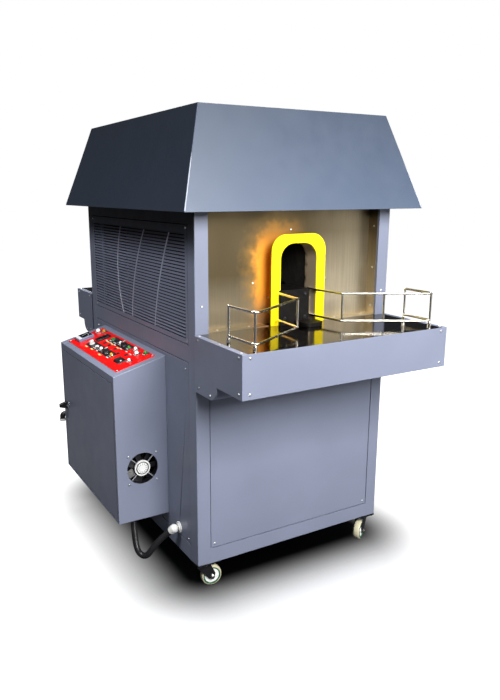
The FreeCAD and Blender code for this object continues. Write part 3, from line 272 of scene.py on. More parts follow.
def polished_table(name):
    """Polished table top with rub marks from sliding work, brownish where it has been hot."""
    base = (0.10, 0.083, 0.056)
    steel = Shader(name, base, 0.1, 1.0)
    smears = steel.noise(1.0, 5, 0.6, steel.stretched((14.0, 5.0, 5.0)))
    scratches = steel.noise(1.0, 3, 0.6, steel.stretched((900.0, 10.0, 10.0)))
    mouth = (MIDDLE["X"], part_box("front_panel")[0].y, TABLE_Z * MM)
    away = steel.node("VectorMath", (steel.place, mouth), "Value", operation="DISTANCE")
    hot = steel.times(steel.spread(away, 0.30, 0.05, smooth=True), 0.6)
    tone = steel.mix(steel.cloud(smears), shade(base, 0.75), shade(base, 1.1))
    steel.to("Base Color", steel.mix(hot, tone, (0.16, 0.11, 0.05)))
    steel.to("Roughness", steel.cloud(smears, 0.07, 0.17))
    return steel.bump(scratches, 0.00003, 0.5).material


def plain_metal(name, colour, roughness, grain=300.0, depth=0.00008, mottling=0.2):
    """Cast, plated or rolled metal with a mottled tone and a surface grain."""
    metal = Shader(name, colour, roughness, 1.0)
    metal.mottled(metal.noise(grain / 8, 4, 0.6), shade(colour, 1 - mottling), colour,
                  max(roughness - 0.07, 0.03), roughness + 0.1)
    return metal.bump(metal.noise(grain, 3), depth, 0.6).material


def plastic(name, colour, roughness=0.45, grain=1400.0, **sockets):
    moulded = Shader(name, colour, roughness, **sockets)
    moulded.mottled(moulded.noise(60.0, 3), shade(colour, 0.88), colour, roughness - 0.05, roughness + 0.08)
    return moulded.bump(moulded.noise(grain, 2), 0.00008, 0.5).material


def scale(name, colour, shine=0.4):
    """Cast iron under dull black scale."""
    iron = Shader(name, colour, 0.5, Specular_IOR_Level=shine)
    iron.mottled(iron.noise(35.0, 5, 0.65), shade(colour, 0.5), shade(colour, 1.3), 0.38, 0.6)
    return iron.bump(iron.noise(260.0, 4), 0.0003, 0.6).material


def firebrick(name):
    """Pale ceramic under soot, with a coarse fibre surface."""
    brick = Shader(name, (0.3, 0.25, 0.2), 0.95)
    darkening = brick.spread(brick.noise(18.0, 5, 0.65), 0.35, 0.65)
    brick.to("Base Color", brick.mix(darkening, (0.006, 0.005, 0.0045), (0.035, 0.026, 0.02)))
    return brick.bump(brick.noise(160.0, 5, 0.7), 0.0012, 0.8).material


def scorched_steel(name):
    """Heat-scaled steel of the mouth sleeves: tan near the mouth, sooty towards the furnace."""
    steel = Shader(name, (0.3, 0.22, 0.15), 0.5, 0.15)
    ragged = steel.math("ADD", steel.off_middle("Y"), steel.cloud(steel.noise(40.0, 4), -0.01, 0.01))
    fresh = steel.spread(ragged, 0.432, 0.456, smooth=True)
    steel.to("Base Color", steel.mix(fresh, (0.012, 0.010, 0.009), (0.75, 0.60, 0.40)))
    steel.to("Roughness", steel.spread(fresh, 0.0, 1.0, 0.65, 0.34))
    return steel.bump(steel.noise(220.0, 4), 0.0003, 0.6).material


BLUE_GREY = (0.195, 0.216, 0.294)
# The hood's paint is a darker copy of the blue-grey, painted shade for the lesser light on the hood; its
# fade darkens it further towards the top, also painted shade.
HOOD_SHADE_FADE = (1.30, 1.61, 0.55)
PAINT = powder_coat("blue_grey_powder_coat", BLUE_GREY)
# The side paint turns nearly black towards the top of the cabinet's long outer faces: a painted shadow under
# the hood.
SHADOWED_SIDE_PAINT = powder_coat("sooty_powder_coat", BLUE_GREY, fade=(1.13, 1.262, 0.04), sides_only=True)
# Pale paint for the grilles' rib beads and the hood's ridge beads; on the hood's ridges it is a painted
# highlight.
PALE_EDGE = powder_coat("pale_coat_and_painted_highlight", (0.42, 0.45, 0.52), 0.4)
SHADED_HOOD_PAINT = powder_coat("hood_powder_coat_painted_shade", (0.069, 0.094, 0.146), 0.45, HOOD_SHADE_FADE)
STAINLESS = stainless_sheet("brushed_stainless")
TABLE_STEEL = polished_table("polished_table_steel")
YELLOW = gloss_paint("yellow_enamel", (1.0, 0.80, 0.0), 0.4)
RED = gloss_paint("red_enamel", (0.90, 0.004, 0.003), 0.35)
SLEEVE = scorched_steel("scorched_steel")
FIREBRICK = firebrick("sooty_firebrick")
BLACK_IRON = scale("black_cast_iron", (0.034, 0.029, 0.026))
SOOTY_IRON = scale("sooty_cast_iron", (0.006, 0.005, 0.0045), 0.15)
BRIGHT_WIRE = plain_metal("bright_wire", (0.86, 0.84, 0.78), 0.18, 500.0, 0.00003)
GALVANISED = plain_metal("galvanised_sheet", (0.55, 0.57, 0.58), 0.4, 120.0, 0.0001, 0.35)
ZINC = plain_metal("zinc_plate", (0.74, 0.72, 0.66), 0.26, 400.0, 0.00004)
SCREW_STEEL = plain_metal("screw_steel", (0.86, 0.85, 0.84), 0.3, 700.0, 0.00003)
CHROME = plain_metal("chrome_plate", (0.88, 0.88, 0.88), 0.1, 300.0, 0.00001, 0.05)
BRASS = plain_metal("cast_brass", (0.62, 0.45, 0.17), 0.3, 420.0, 0.0001)
ALUMINIUM = plain_metal("cast_aluminium", (0.66, 0.67, 0.68), 0.42, 500.0, 0.00015)
GAS_YELLOW = gloss_paint("gas_pipe_paint", (0.70, 0.50, 0.03), 0.4)
LEVER_RED = gloss_paint("lever_dip", (0.55, 0.02, 0.015), 0.35)
DARK_PAINT = powder_coat("dark_machine_paint", (0.045, 0.05, 0.055), 0.4)
BLACK_METAL = gloss_paint("black_enamel", (0.012, 0.012, 0.014), 0.35)
BLACK_PLASTIC = plastic("black_plastic", (0.012, 0.012, 0.014), 0.35)
GREY_PLASTIC = plastic("grey_plastic", (0.30, 0.31, 0.33), 0.4)
METER_GREY = plastic("meter_grey", (0.22, 0.27, 0.42), 0.4)
DARK_GLASS = plastic("dark_glass", (0.004, 0.004, 0.008), 0.08, 60.0)
CONDUIT_BLACK = plastic("conduit_pvc", (0.020, 0.020, 0.022), 0.36, 700.0)
WHITE_PLASTIC = plastic("white_plastic", (0.86, 0.86, 0.84), 0.3)
LABEL_YELLOW = plastic("label_yellow", (0.85, 0.72, 0.22), 0.5)
GREEN_LENS = plastic("green_lens", (0.03, 0.34, 0.05), 0.12, 90.0)
LIT_LENS = plastic("lit_white_lens", (0.95, 0.95, 0.93), 0.15, 90.0, Emission_Strength=0.45)
AMBER_LENS = plastic("amber_lens", (0.75, 0.42, 0.03), 0.12, 90.0)
CREAM = plastic("cream_tread", (0.62, 0.58, 0.40), 0.5)
GREEN_RIM = plastic("dark_green_rim", (0.012, 0.10, 0.045), 0.4)


# ---- camera, floor and light ----

LENS = 34.2
SHIFT_X = 0.0257
CAMERA_AT = (-1.2351, -2.2986, 1.3562)
CAMERA_YAW = math.radians(29.81)
CAMERA_PITCH = math.radians(-13.41)


def linked(name, data):
    """A new object in the scene."""
    made = bpy.data.objects.new(name, data)
    bpy.context.scene.collection.objects.link(made)
    return made


def camera():
    lens = bpy.data.cameras.new("camera")
    lens.lens = LENS
    lens.shift_x = SHIFT_X
    eye = linked("camera", lens)
    eye.location = CAMERA_AT
    eye.rotation_euler = (math.pi / 2 + CAMERA_PITCH, 0, -CAMERA_YAW)
    bpy.context.scene.camera = eye


def softbox(name, at, target, size, watts, skip=None):
    """A rectangular lamp; its light stays off the pieces whose names start with skip."""
    lamp = bpy.data.lights.new(name, "AREA")
    lamp.shape = "RECTANGLE"
    lamp.size, lamp.size_y = size
    lamp.energy = watts
    holder = linked(name, lamp)
    holder.location = at
    holder.rotation_euler = (Vector(target) - Vector(at)).to_track_quat("-Z", "Y").to_euler()
    if skip:
        lit = bpy.data.collections.new(f"lit_by_{name}")
        for made in bpy.context.scene.collection.objects:
            if made.type == "MESH" and not made.name.startswith(skip):
                lit.objects.link(made)
        holder.light_linking.receiver_collection = lit


def studio_world():
    """Seen directly, the backdrop is white; as light it is a dim grey dome."""
    world = bpy.data.worlds.new("studio")
    bpy.context.scene.world = world
    world.use_nodes = True
    nodes, links = world.node_tree.nodes, world.node_tree.links
    mix = nodes.new("ShaderNodeMixShader")
    links.new(nodes.new("ShaderNodeLightPath").outputs["Is Camera Ray"], mix.inputs[0])
    seen = nodes.new("ShaderNodeBackground")
    looks = ((nodes["Background"], (0.85, 0.90, 1.0, 1), 0.045), (seen, (1, 1, 1, 1), 1.0))
    for at, (light, colour, strength) in enumerate(looks, 1):
        light.inputs["Color"].default_value = colour
        light.inputs["Strength"].default_value = strength
        links.new(light.outputs[0], mix.inputs[at])
    links.new(mix.outputs[0], nodes["World Output"].inputs["Surface"])


PAINTED_SHADOW = (("X", 0.33), ("Y", 0.40))      # half sizes of the floor patch painted darkest, a painted shadow under the object


def grey(value):
    return (value, value, value)


def studio_floor():
    """A pale floor that glows white away from the object, as an overexposed backdrop does; close to the
    object it is painted dark and does not glow: a painted shadow.
    """
    bm = bmesh.new()
    bmesh.ops.create_circle(bm, cap_ends=True, segments=96, radius=14)
    floor = Shader("pale_floor", grey(0.93), 0.8)
    path = floor.node("LightPath", (), "Is Camera Ray")
    squares = []
    for name, half in PAINTED_SHADOW:
        gap = floor.math("MAXIMUM", floor.math("SUBTRACT", floor.off_middle(name), half), 0.0)
        squares.append(floor.times(gap, gap))
    away = floor.math("SQRT", floor.math("ADD", *squares))
    # Near the object the glow fades out and, seen directly, the floor is painted dark (0.05): a painted
    # shadow.
    glow = floor.spread(away, 0.05, 0.36, 0.0, 1.0, smooth=True)
    mottle = floor.mix(floor.cloud(floor.noise(1.5, 3)), grey(0.92), grey(0.95))
    floor.to("Base Color", floor.mix(path, grey(0.35), floor.mix(glow, grey(0.05), mottle)))
    floor.to("Emission Color", grey(1.0))
    floor.to("Emission Strength", floor.times(glow, path))
    mesh = bpy.data.meshes.new("floor")
    bm.to_mesh(mesh)
    mesh.materials.append(floor.material)
    linked("floor", mesh)


def studio():
    bpy.context.scene.view_settings.view_transform = "Standard"
    studio_world()
    studio_floor()
    furnace = ("refractory", "hearth", "chamber", "work_carriage", "mouth_sleeves")
    softbox("key", (-0.05, -3.1, 2.4), (0.05, -0.4, 0.8), (1.6, 1.5), 200, "floor")
    softbox("top", (0.2, 0.6, 4.4), (0.1, 0.2, 0), (1.5, 1.5), 120)
    softbox("side", (-1.8, -0.55, 3.7), (-0.3, 0, 0.7), (0.9, 0.9), 78, ("hood", "floor"))
    softbox("right", (2.2, -3.1, 1.4), (0.1, -0.4, 1.0), (3.0, 2.4), 24, "floor")
    softbox("back", (1.7, 3.1, 2.3), (0.1, 0.4, 0.8), (1.6, 1.6), 95, ("floor", *furnace))


# ---- mesh helpers ----
# Shapes are drawn in the cabinet's own millimetres, about the middle of its footprint; piece() brings them
# into the frame.

ORIGIN = Vector((-79, -48, 0))    # the frame's origin in the cabinet's own millimetres
TO_FRAME = Matrix.Scale(MM, 4) @ Matrix.Translation(-ORIGIN)


def node_shape(node):
    """A CAD node's mesh in the cabinet's millimetres, with its triangles merged into flat convex faces."""
    bm = bmesh.new()
    bm.from_mesh(frame["nodes"][node].data)
    bmesh.ops.transform(bm, matrix=TO_FRAME.inverted(), verts=bm.verts)
    bmesh.ops.remove_doubles(bm, verts=bm.verts, dist=0.01)
    bmesh.ops.dissolve_limit(bm, angle_limit=math.radians(0.5), verts=bm.verts, edges=bm.edges)
    bmesh.ops.connect_verts_concave(bm, faces=bm.faces)
    return bm


def piece(name, bm, node, material, replaces=False, angle=32):
    """Links a shape as a piece that rides with a CAD node's body and, if asked, stands in for the node."""
    mesh = bpy.data.meshes.new(name)
    bmesh.ops.recalc_face_normals(bm, faces=bm.faces)
    bmesh.ops.triangulate(bm, faces=[face for face in bm.faces if len(face.verts) > 4])
    bmesh.ops.transform(bm, matrix=TO_FRAME, verts=bm.verts)
    bm.to_mesh(mesh)
    bm.free()
    mesh.polygons.foreach_set("use_smooth", [True] * len(mesh.polygons))
    mesh.set_sharp_from_angle(angle=math.radians(angle))
    for entry in material if isinstance(material, tuple) else (material,):
        mesh.materials.append(entry)
    made = linked(name, mesh)
    even = made.modifiers.new("even", "WEIGHTED_NORMAL")
    even.weight = 100
    even.keep_sharp = True
    graph = bpy.context.evaluated_depsgraph_get()
    made.data = bpy.data.meshes.new_from_object(made.evaluated_get(graph), preserve_all_data_layers=True,
                                                depsgraph=graph)
    made.modifiers.clear()
    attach(made, BODY_OF[node])
    if replaces:
        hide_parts(node)
    return made


def modified(bm, kind, **settings):
    """The shape after one modifier; objects given as settings only lend their shape."""
    mesh = bpy.data.meshes.new("draft")
    bm.to_mesh(mesh)
    bm.free()
    draft = linked("draft", mesh)
    modifier = draft.modifiers.new("step", kind)
    for name, value in settings.items():
        setattr(modifier, name, value)
    graph = bpy.context.evaluated_depsgraph_get()
    result = bmesh.new()
    result.from_mesh(draft.evaluated_get(graph).data)
    bpy.data.objects.remove(draft)
    return result


def carved(bm, *cutters):
    """Cuts closed shapes out of another one."""
    for cutter in cutters:
        mesh = bpy.data.meshes.new("cutter")
        bmesh.ops.recalc_face_normals(cutter, faces=cutter.faces)
        cutter.to_mesh(mesh)
        cutter.free()
        hole = linked("cutter", mesh)
        bm = modified(bm, "BOOLEAN", operation="DIFFERENCE", solver="EXACT", object=hole)
        bpy.data.objects.remove(hole)
    return bm


def rolled(bm, width, segments=2):
    """The shape with its sharp edges rounded."""
    return modified(bm, "BEVEL", width=width, segments=segments, limit_method="ANGLE",
                    angle_limit=math.radians(35), use_clamp_overlap=True)


def round_edges(bm, edges, radius, segments=3):
    bmesh.ops.bevel(bm, geom=edges, offset=radius, segments=segments, profile=0.5, affect="EDGES")


def softened(node, width, material, segments=2):
    """The CAD shape with rolled edges of the given radius in place of knife-sharp ones."""
    return piece(f"{node}_body", rolled(node_shape(node), width, segments), node, material, True, 40)


def new(draw, *arguments, **settings):
    """A shape drawn by one of the add_ functions."""
    bm = bmesh.new()
    draw(bm, *arguments, **settings)
    return bm


def add_box(bm, low, high, bevel=0.0, segments=2, place=Matrix.Identity(4), index=0):
    """A box between two corners with rounded edges, moved by place."""
    part = bmesh.new()
    low, high = Vector(low), Vector(high)
    for vert in bmesh.ops.create_cube(part, size=1)["verts"]:
        vert.co = Vector(low[i] + (vert.co[i] + 0.5) * (high[i] - low[i]) for i in range(3))
    if bevel:
        round_edges(part, part.edges[:], bevel, segments)
    add_shape(bm, part, place, index)


def add_shape(bm, part, place=Matrix.Identity(4), index=None):
    """Adds another shape, moved by place; index gives all its faces one material."""
    bmesh.ops.transform(part, matrix=place, verts=part.verts)
    if index is not None:
        for face in part.faces:
            face.material_index = index
    mesh = bpy.data.meshes.new("part")
    part.to_mesh(mesh)
    part.free()
    bm.from_mesh(mesh)
    bpy.data.meshes.remove(mesh)


def drum(radius, low, high):
    """The profile of a plain cylinder."""
    return [(0, low), (radius, low), (radius, high), (0, high)]


def add_lathe(bm, profile, segments=32, place=Matrix.Identity(4), index=0, flutes=(0, 0.0)):
    """Turns (radius, height) points round Z; flutes are (how many, how deep as a share of the radius)."""
    part = bmesh.new()
    count, depth = flutes
    rings = []
    for radius, height in profile:
        if radius < 1e-5:
            rings.append([part.verts.new((0, 0, height))])
            continue
        ring = []
        for step in range(segments):
            a = math.tau * step / segments
            r = radius * (1 - depth * (0.5 - 0.5 * math.cos(count * a)))
            ring.append(part.verts.new((r * math.cos(a), r * math.sin(a), height)))
        rings.append(ring)
    for ring, following in zip(rings, rings[1:]):
        for step in range(segments):
            after = (step + 1) % segments
            corners = [ring[step % len(ring)], ring[after % len(ring)],
                       following[after % len(following)], following[step % len(following)]]
            unique = list(dict.fromkeys(corners))
            if len(unique) > 2:
                part.faces.new(unique)
    bmesh.ops.recalc_face_normals(part, faces=part.faces)
    add_shape(bm, part, place, index)


def add_skin(bm, loops, closed=False, index=0):
    """Joins outlines one after another with quads; the two ends are capped, or joined when closed."""
    rings = [[bm.verts.new(point) for point in loop] for loop in loops]
    faces = []
    for ring, following in list(zip(rings, rings[1:])) + ([(rings[-1], rings[0])] if closed else []):
        for step in range(len(ring)):
            after = (step + 1) % len(ring)
            faces.append(bm.faces.new((ring[step], ring[after], following[after], following[step])))
    if not closed:
        faces += [bm.faces.new(list(reversed(rings[0]))), bm.faces.new(rings[-1])]
    for face in faces:
        face.material_index = index


def add_tube(bm, points, radius, sides=12, closed=False, index=0):
    """A round bar along points, with mitred joints; radius may vary from point to point."""
    points = [Vector(point) for point in points]
    radii = radius if isinstance(radius, list) else [radius] * len(points)
    loops = []
    side = None
    for at, point in enumerate(points):
        before = points[at - 1] if closed or at else point
        after = points[(at + 1) % len(points)] if closed or at + 1 < len(points) else point
        along = (after - before).normalized()
        side = along.orthogonal() if side is None else side - along * side.dot(along)
        side.normalize()
        other = along.cross(side)
        turns = (math.tau * step / sides for step in range(sides))
        loops.append([point + (side * math.cos(a) + other * math.sin(a)) * radii[at] for a in turns])
    add_skin(bm, loops, closed, index)


def turned(place, degrees):
    """A place turned about its own Z axis."""
    return place @ Matrix.Rotation(math.radians(degrees), 4, "Z")


def upright(at, way, spin=0.0):
    """The matrix that stands a shape's Z axis along way at a point."""
    turn = Vector(way).to_track_quat("Z", "Y").to_matrix().to_4x4()
    return Matrix.Translation(Vector(at)) @ turn @ Matrix.Rotation(spin, 4, "Z")


def rounded(points, radius, steps=6):
    """The corners of a bent rod turned into arcs of one radius."""
    points = [Vector(point) for point in points]
    line = [points[0]]
    for before, corner, after in zip(points, points[1:], points[2:]):
        into, out = (before - corner).normalized(), (after - corner).normalized()
        half = into.angle(out) / 2
        start, end = corner + into * radius / math.tan(half), corner + out * radius / math.tan(half)
        middle = corner + (into + out).normalized() * radius / math.sin(half)
        arms = start - middle, end - middle
        for step in range(steps + 1):
            arm = arms[0].lerp(arms[1], step / steps).normalized() * radius
            line.append(middle + arm)
    return line + [points[-1]]


def islands(node):
    """The separate solids of a CAD node, each as an array of its points in cabinet millimetres."""
    bm = node_shape(node)
    groups, seen = [], set()
    for start in bm.verts:
        if start in seen:
            continue
        group = [start]
        seen.add(start)
        for vert in group:
            others = [edge.other_vert(vert) for edge in vert.link_edges]
            group += [other for other in others if other not in seen]
            seen.update(others)
        groups.append(np.array([vert.co for vert in group]))
    bm.free()
    return groups


def on_slope(v, y, lift=0.0):
    """The matrix that sets a shape down on the red panel, v up the slope and y along the cabinet."""
    return (Matrix.Translation((BOX_X, y, BOX_TOP)) @ Matrix.Rotation(-SLOPE, 4, "Y")
            @ Matrix.Translation((v, 0, PLATE_T + lift)))


# ---- conduit ----

CONDUIT_R = 11.5
CONDUIT = ((-508.0, -203.0, 176.0), (-508.0, -203.0, 150.0), (-507.0, -205.0, 118.0), (-505.5, -207.5, 84.0),
           (-503.0, -212.0, 58.0), (-498.5, -219.5, 39.0), (-489.0, -237.0, 30.5), (-479.0, -254.5, 38.5),
           (-470.5, -269.5, 61.0), (-459.5, -289.0, 94.0), (-446.0, -312.0, 126.0), (-433.0, -335.5, 153.5),
           (-423.5, -352.0, 171.0))
RIB_PITCH = 3.6
RIB_DEPTH = 0.7


def spline_line(points, steps=24):
    """Points read from the smooth spline that the route's points control."""
    curve = bpy.data.curves.new("route", "CURVE")
    curve.dimensions = "3D"
    curve.resolution_u = steps
    spline = curve.splines.new("NURBS")
    spline.points.add(len(points) - 1)
    for control, point in zip(spline.points, points):
        control.co = (*point, 1)
    spline.order_u = 3
    spline.use_endpoint_u = True
    holder = bpy.data.objects.new("route", curve)
    mesh = bpy.data.meshes.new_from_object(holder)
    line = [vert.co.copy() for vert in mesh.vertices]
    bpy.data.objects.remove(holder)
    bpy.data.meshes.remove(mesh)
    return line


def evenly(line, gap):
    """The line walked in steps of about gap, and its length."""
    lengths = [0.0]
    for before, after in zip(line, line[1:]):
        lengths.append(lengths[-1] + (after - before).length)
    count = max(2, round(lengths[-1] / gap))
    marks = np.linspace(0, lengths[-1], count + 1)
    axes = [np.interp(marks, lengths, [point[i] for point in line]) for i in range(3)]
    return [Vector(point) for point in zip(*axes)], lengths[-1]


def conduit():
    """Ribbed flexible conduit from the control box's gland to the base."""
    points, length = evenly(spline_line(CONDUIT), RIB_PITCH / 6)
    swell = [CONDUIT_R - RIB_DEPTH * (0.5 - 0.5 * math.cos(math.tau * at / 6)) for at in range(len(points))]
    tube = piece("ribbed_conduit", new(add_tube, points, swell, 28), "conduit", CONDUIT_BLACK, True)


# ---- sheet metal ----

def cabinet_frame():
    """Welded tube frame: only the cabinet's outer corners are rounded, so flush tubes show no joint."""
    bm = node_shape("base_frame")

    def outside(vert):
        x, y, z = vert.co
        return abs(abs(x) - HALF_W) < 0.1, abs(abs(y) - HALF_D) < 0.1, z < BASE_Z + 0.1

    edges = [edge for edge in bm.edges
             if sum(a and b for a, b in zip(*(outside(vert) for vert in edge.verts))) >= 2]
    round_edges(bm, edges, 2.6)
    piece("base_frame_body", bm, "base_frame", SHADOWED_SIDE_PAINT, True, 40)


def outline(half, inset, z):
    """A level rectangle round the hood's middle, inset from its half sizes."""
    x, y = half[0] - inset, half[1] - inset
    return [(-x, -y, z), (x, -y, z), (x, y, z), (-x, y, z)]


def hood():
    """Folded hood with a lip turned in along its foot, and pale beads along its ridges that are a painted
    highlight.
    """
    bm = new(add_skin, [
        outline(HOOD_CROWN, HOOD_WALL, HOOD_TOP - SHEET), outline(HOOD_FOOT, HOOD_WALL, HOOD_Z + SHEET),
        outline(HOOD_FOOT, HOOD_LIP, HOOD_Z + SHEET), outline(HOOD_FOOT, HOOD_LIP, HOOD_Z),
        outline(HOOD_FOOT, 0, HOOD_Z), outline(HOOD_CROWN, 0, HOOD_TOP)])
    bmesh.ops.recalc_face_normals(bm, faces=bm.faces)
    bm = carved(bm, new(add_lathe, drum(72, -20, 20), 64, Matrix.Translation((*FLUE, HOOD_TOP))))
    ridges = [edge for edge in bm.edges if abs(edge.verts[0].co.z - edge.verts[1].co.z) > 200
              and max(abs(vert.co.x) for vert in edge.verts) > HOOD_FOOT[0] - 0.1]
    round_edges(bm, ridges, RIDGE_IN)
    bm = rolled(bm, RIDGE_R)
    # Pale beads along the ridges: a painted highlight.
    for ridge in zip(outline(HOOD_FOOT, RIDGE_IN, HOOD_Z + 3), outline(HOOD_CROWN, RIDGE_IN, HOOD_TOP - 3)):
        add_tube(bm, ridge, RIDGE_R, 10, index=1)
    piece("hood_body", bm, "hood", (SHADED_HOOD_PAINT, PALE_EDGE), True, 30)


def rib_places(z):
    """Where the grille's four ribs stand along the cabinet at a height."""
    height = z - GRILLE_FOOT
    return [a + b * height + c * height ** 2 for a, b, c in GRILLE_RIBS]


def grille(side, name):
    """Louvred side sheet: the CAD's slots, each with a pressed lip over it, and three pale rib beads."""
    bm = node_shape(name)
    first = GRILLE_Z[0] + GRILLE_MARGIN
    rows = (GRILLE_Z[1] - GRILLE_MARGIN - first) // SLOT_PITCH
    for low in range(first, first + rows * SLOT_PITCH, SLOT_PITCH):
        ribs = rib_places(low)
        starts = [GRILLE_MARGIN - GRILLE_HALF] + [rib + GRILLE_RIB / 2 for rib in ribs]
        ends = [rib - GRILLE_RIB / 2 for rib in ribs] + [GRILLE_HALF - GRILLE_MARGIN]
        lip = [(side * (HALF_W + out), low + SLOT_H + up) for out, up in LOUVRE_LIP]
        for span in zip(starts, ends):
            add_skin(bm, [[(x, y, z) for x, z in lip] for y in span])
    heights = np.linspace(first, first + (rows - 1) * SLOT_PITCH + SLOT_H, 13)
    for bead in list(zip(*(rib_places(z) for z in heights)))[:-1]:
        add_tube(bm, [(side * HALF_W, y, z) for y, z in zip(bead, heights)], 1.7, 8, index=1)
    piece(f"{name}_louvres", bm, name, (SHADOWED_SIDE_PAINT, PALE_EDGE), True, 25)


def box_profile(inset, ends):
    """The control box's sloped section, inset and drawn out between two ends."""
    rise, slant = inset / math.cos(SLOPE), inset * math.tan(SLOPE)
    near, far, floor = BOX_X + inset, -HALF_W - inset, BOX_Z + inset
    corners = ((near, floor), (far, floor),
               (far, BOX_TOP + BOX_RISE - rise - slant), (near, BOX_TOP - rise + slant))
    bm = new(add_skin, [[(x, end, z) for x, z in corners] for end in ends])
    bmesh.ops.recalc_face_normals(bm, faces=bm.faces)
    return bm


def control_box():
    """Sloped welded box with its doorway, panel window and the fan's, glands' and mains holes."""
    outer = box_profile(0, BOX_Y)
    round_edges(outer, outer.edges[:], 2.0)
    hollow = box_profile(SHEET, (BOX_Y[0] + SHEET, BOX_Y[1] - SHEET))
    sill, head = DOOR_Z[0] - SEAM, DOOR_Z[1] + SEAM
    doorway = new(add_box, (BOX_X - 5, DOOR_Y[0] - SEAM, sill), (BOX_X + 5, DOOR_Y[1] + SEAM, head))
    window = new(add_box, (PLATE_V[0] + 8, PLATE_Y[0] + 8, -10), (PLATE_V[1] - 8, PLATE_Y[1] - 8, 5),
                 place=on_slope(0, 0, -PLATE_T))
    bore = new(add_lathe, drum(FAN_BORE + 1, -5, 8), 64, upright((FAN[0], BOX_Y[0], FAN[1]), (0, 1, 0)))
    below = new(add_lathe, drum(GLAND_BORE, -5, 5), 24, Matrix.Translation((*BOX_END[:2], BOX_Z)))
    behind = new(add_lathe, drum(GLAND_BORE, -5, 5), 24, upright(MAINS, (0, 1, 0)))
    bm = carved(outer, hollow, doorway, window, bore, below, behind)
    for low, high in ((BOX_Z + SHEET, sill), (head, head + 14)):
        add_box(bm, (BOX_X + SHEET, DOOR_Y[0] - 6, low), (BOX_X + 13, DOOR_Y[0] + 14, high), 0.6)
    piece("control_box_body", bm, "control_box", PAINT, True, 30)


def sheet_metal():
    cabinet_frame()
    hood()
    grille(-1, "left_grille")
    grille(1, "right_grille")
    control_box()
    flue_collar()
    sheets = {
        ("base_front_panel", "base_rear_panel", "base_left_panel", "base_right_panel"): (1.6, PAINT),
        ("front_tray", "rear_tray", "box_door"): (1.2, PAINT),
        ("front_panel", "rear_panel"): (0.6, STAINLESS), ("front_table", "rear_table"): (0.7, TABLE_STEEL),
        ("mouth_frames",): (1.1, YELLOW, 3), ("mouth_sleeves",): (0.6, SLEEVE),
    }
    for nodes, finish in sheets.items():
        for node in nodes:
            softened(node, *finish)


def flue_collar():
    """Flue spigot with a rolled rim and a bead round its foot."""
    bm = node_shape("flue_spigot")
    turns = [math.tau * step / 72 for step in range(72)]
    for height, radius, wire in ((HOOD_TOP + 50, 74, 1.8), (HOOD_TOP + 22, 75, 1.5)):
        loop = [(FLUE[0] + radius * math.cos(a), FLUE[1] + radius * math.sin(a), height) for a in turns]
        add_tube(bm, loop, wire, 8, True)
    piece("flue_spigot_body", bm, "flue_spigot", GALVANISED, True)


# ---- screws, guards, carriage ----

def pan_head():
    """Pan head with a pressed cross recess, standing on z = 0."""
    profile = [(0, -0.4), (4, -0.4), (4.1, 0.5), (3.8, 1.4), (3.0, 2.1), (1.7, 2.42), (0, 2.5)]
    slots = [new(add_box, (-x, -y, 1.1), (x, y, 4)) for x, y in ((2.1, 0.42), (0.42, 2.1))]
    return carved(new(add_lathe, profile, 20), *slots)


def screws():
    """A cross-recessed head on each of the CAD's screw places, each turned its own way."""
    head = pan_head()
    stamp = bpy.data.meshes.new("stamp")
    head.to_mesh(stamp)
    head.free()
    turns = random.Random(7)
    bm = bmesh.new()
    for points in islands("fasteners"):
        middle = (points.min(axis=0) + points.max(axis=0)) / 2
        way = np.linalg.eigh(np.cov((points - middle).T))[1][:, 0]
        heights = (points - middle) @ way
        girth = np.linalg.norm((points - middle) - np.outer(heights, way), axis=1)
        if girth[heights > 0].max() > girth[heights < 0].max():
            way, heights = -way, -heights
        foot = middle + way * heights.min()
        one = bmesh.new()
        one.from_mesh(stamp)
        add_shape(bm, one, upright(foot, way, turns.uniform(0, math.tau)))
    bpy.data.meshes.remove(stamp)
    piece("cross_head_screws", bm, "fasteners", SCREW_STEEL, True, 28)


def guard(name, braced):
    """Welded wire guard: two bent rails, posts, two feet, and a bead of weld at each joint."""
    plan = [Vector((x, y, 0)) for x, y in GUARDS[name]]
    inset = Vector((0, 2, 0))
    bm = bmesh.new()
    for z in GUARD_Z:
        add_tube(bm, rounded([(x, y, z) for x, y, _ in plan], GUARD_BEND), 4, 16)
    line = rounded(plan, GUARD_BEND)
    corners = [line[1 + 7 * at + 3] for at in range(len(plan) - 2)]    # the middles of the bends
    back = plan[-1] - inset
    posts = [*corners[-2:], back]
    if braced:
        posts += [plan[-3].lerp(plan[-2], 0.45), plan[0] - inset]
    for spot in posts:
        low = TABLE_Z if spot in (corners[-1], back) else GUARD_Z[0]
        add_tube(bm, [(spot.x, spot.y, low), (spot.x, spot.y, GUARD_Z[1])], 3.7, 16)
        for z in GUARD_Z:
            bead = bmesh.new()
            bmesh.ops.create_icosphere(bead, subdivisions=2, radius=4.9)
            add_shape(bm, bead, Matrix.Translation((spot.x, spot.y, z)))
    foot = [(0, 0), (6, 0), (6, 12), (5, 16), (3.6, 18)]
    for x, y, _ in (corners[-1], back):
        add_lathe(bm, foot, 20, Matrix.Translation((x, y, TABLE_Z)))
    piece(f"{name}_wire", bm, name, BRIGHT_WIRE, True)


def carriage():
    """Cast work carriage, with four clamp bolts."""
    bm = rolled(node_shape("work_carriage"), 1.6, 3)
    piece("work_carriage_casting", bm, "work_carriage", SOOTY_IRON, True, 40)
    bolts = bmesh.new()
    for x, z in ((-60, 1016), (22, 1016), (-60, 938), (22, 938)):
        add_lathe(bolts, [(0, -1), (7, -1), (7, 1), (5.5, 1.2), (5.2, 4.4), (4, 5), (0, 5)], 6,
                  upright((x, -516, z), (0, -1, 0)))
    piece("carriage_bolts", bolts, "work_carriage", BLACK_METAL)


# ---- control box: door, fan, glands ----

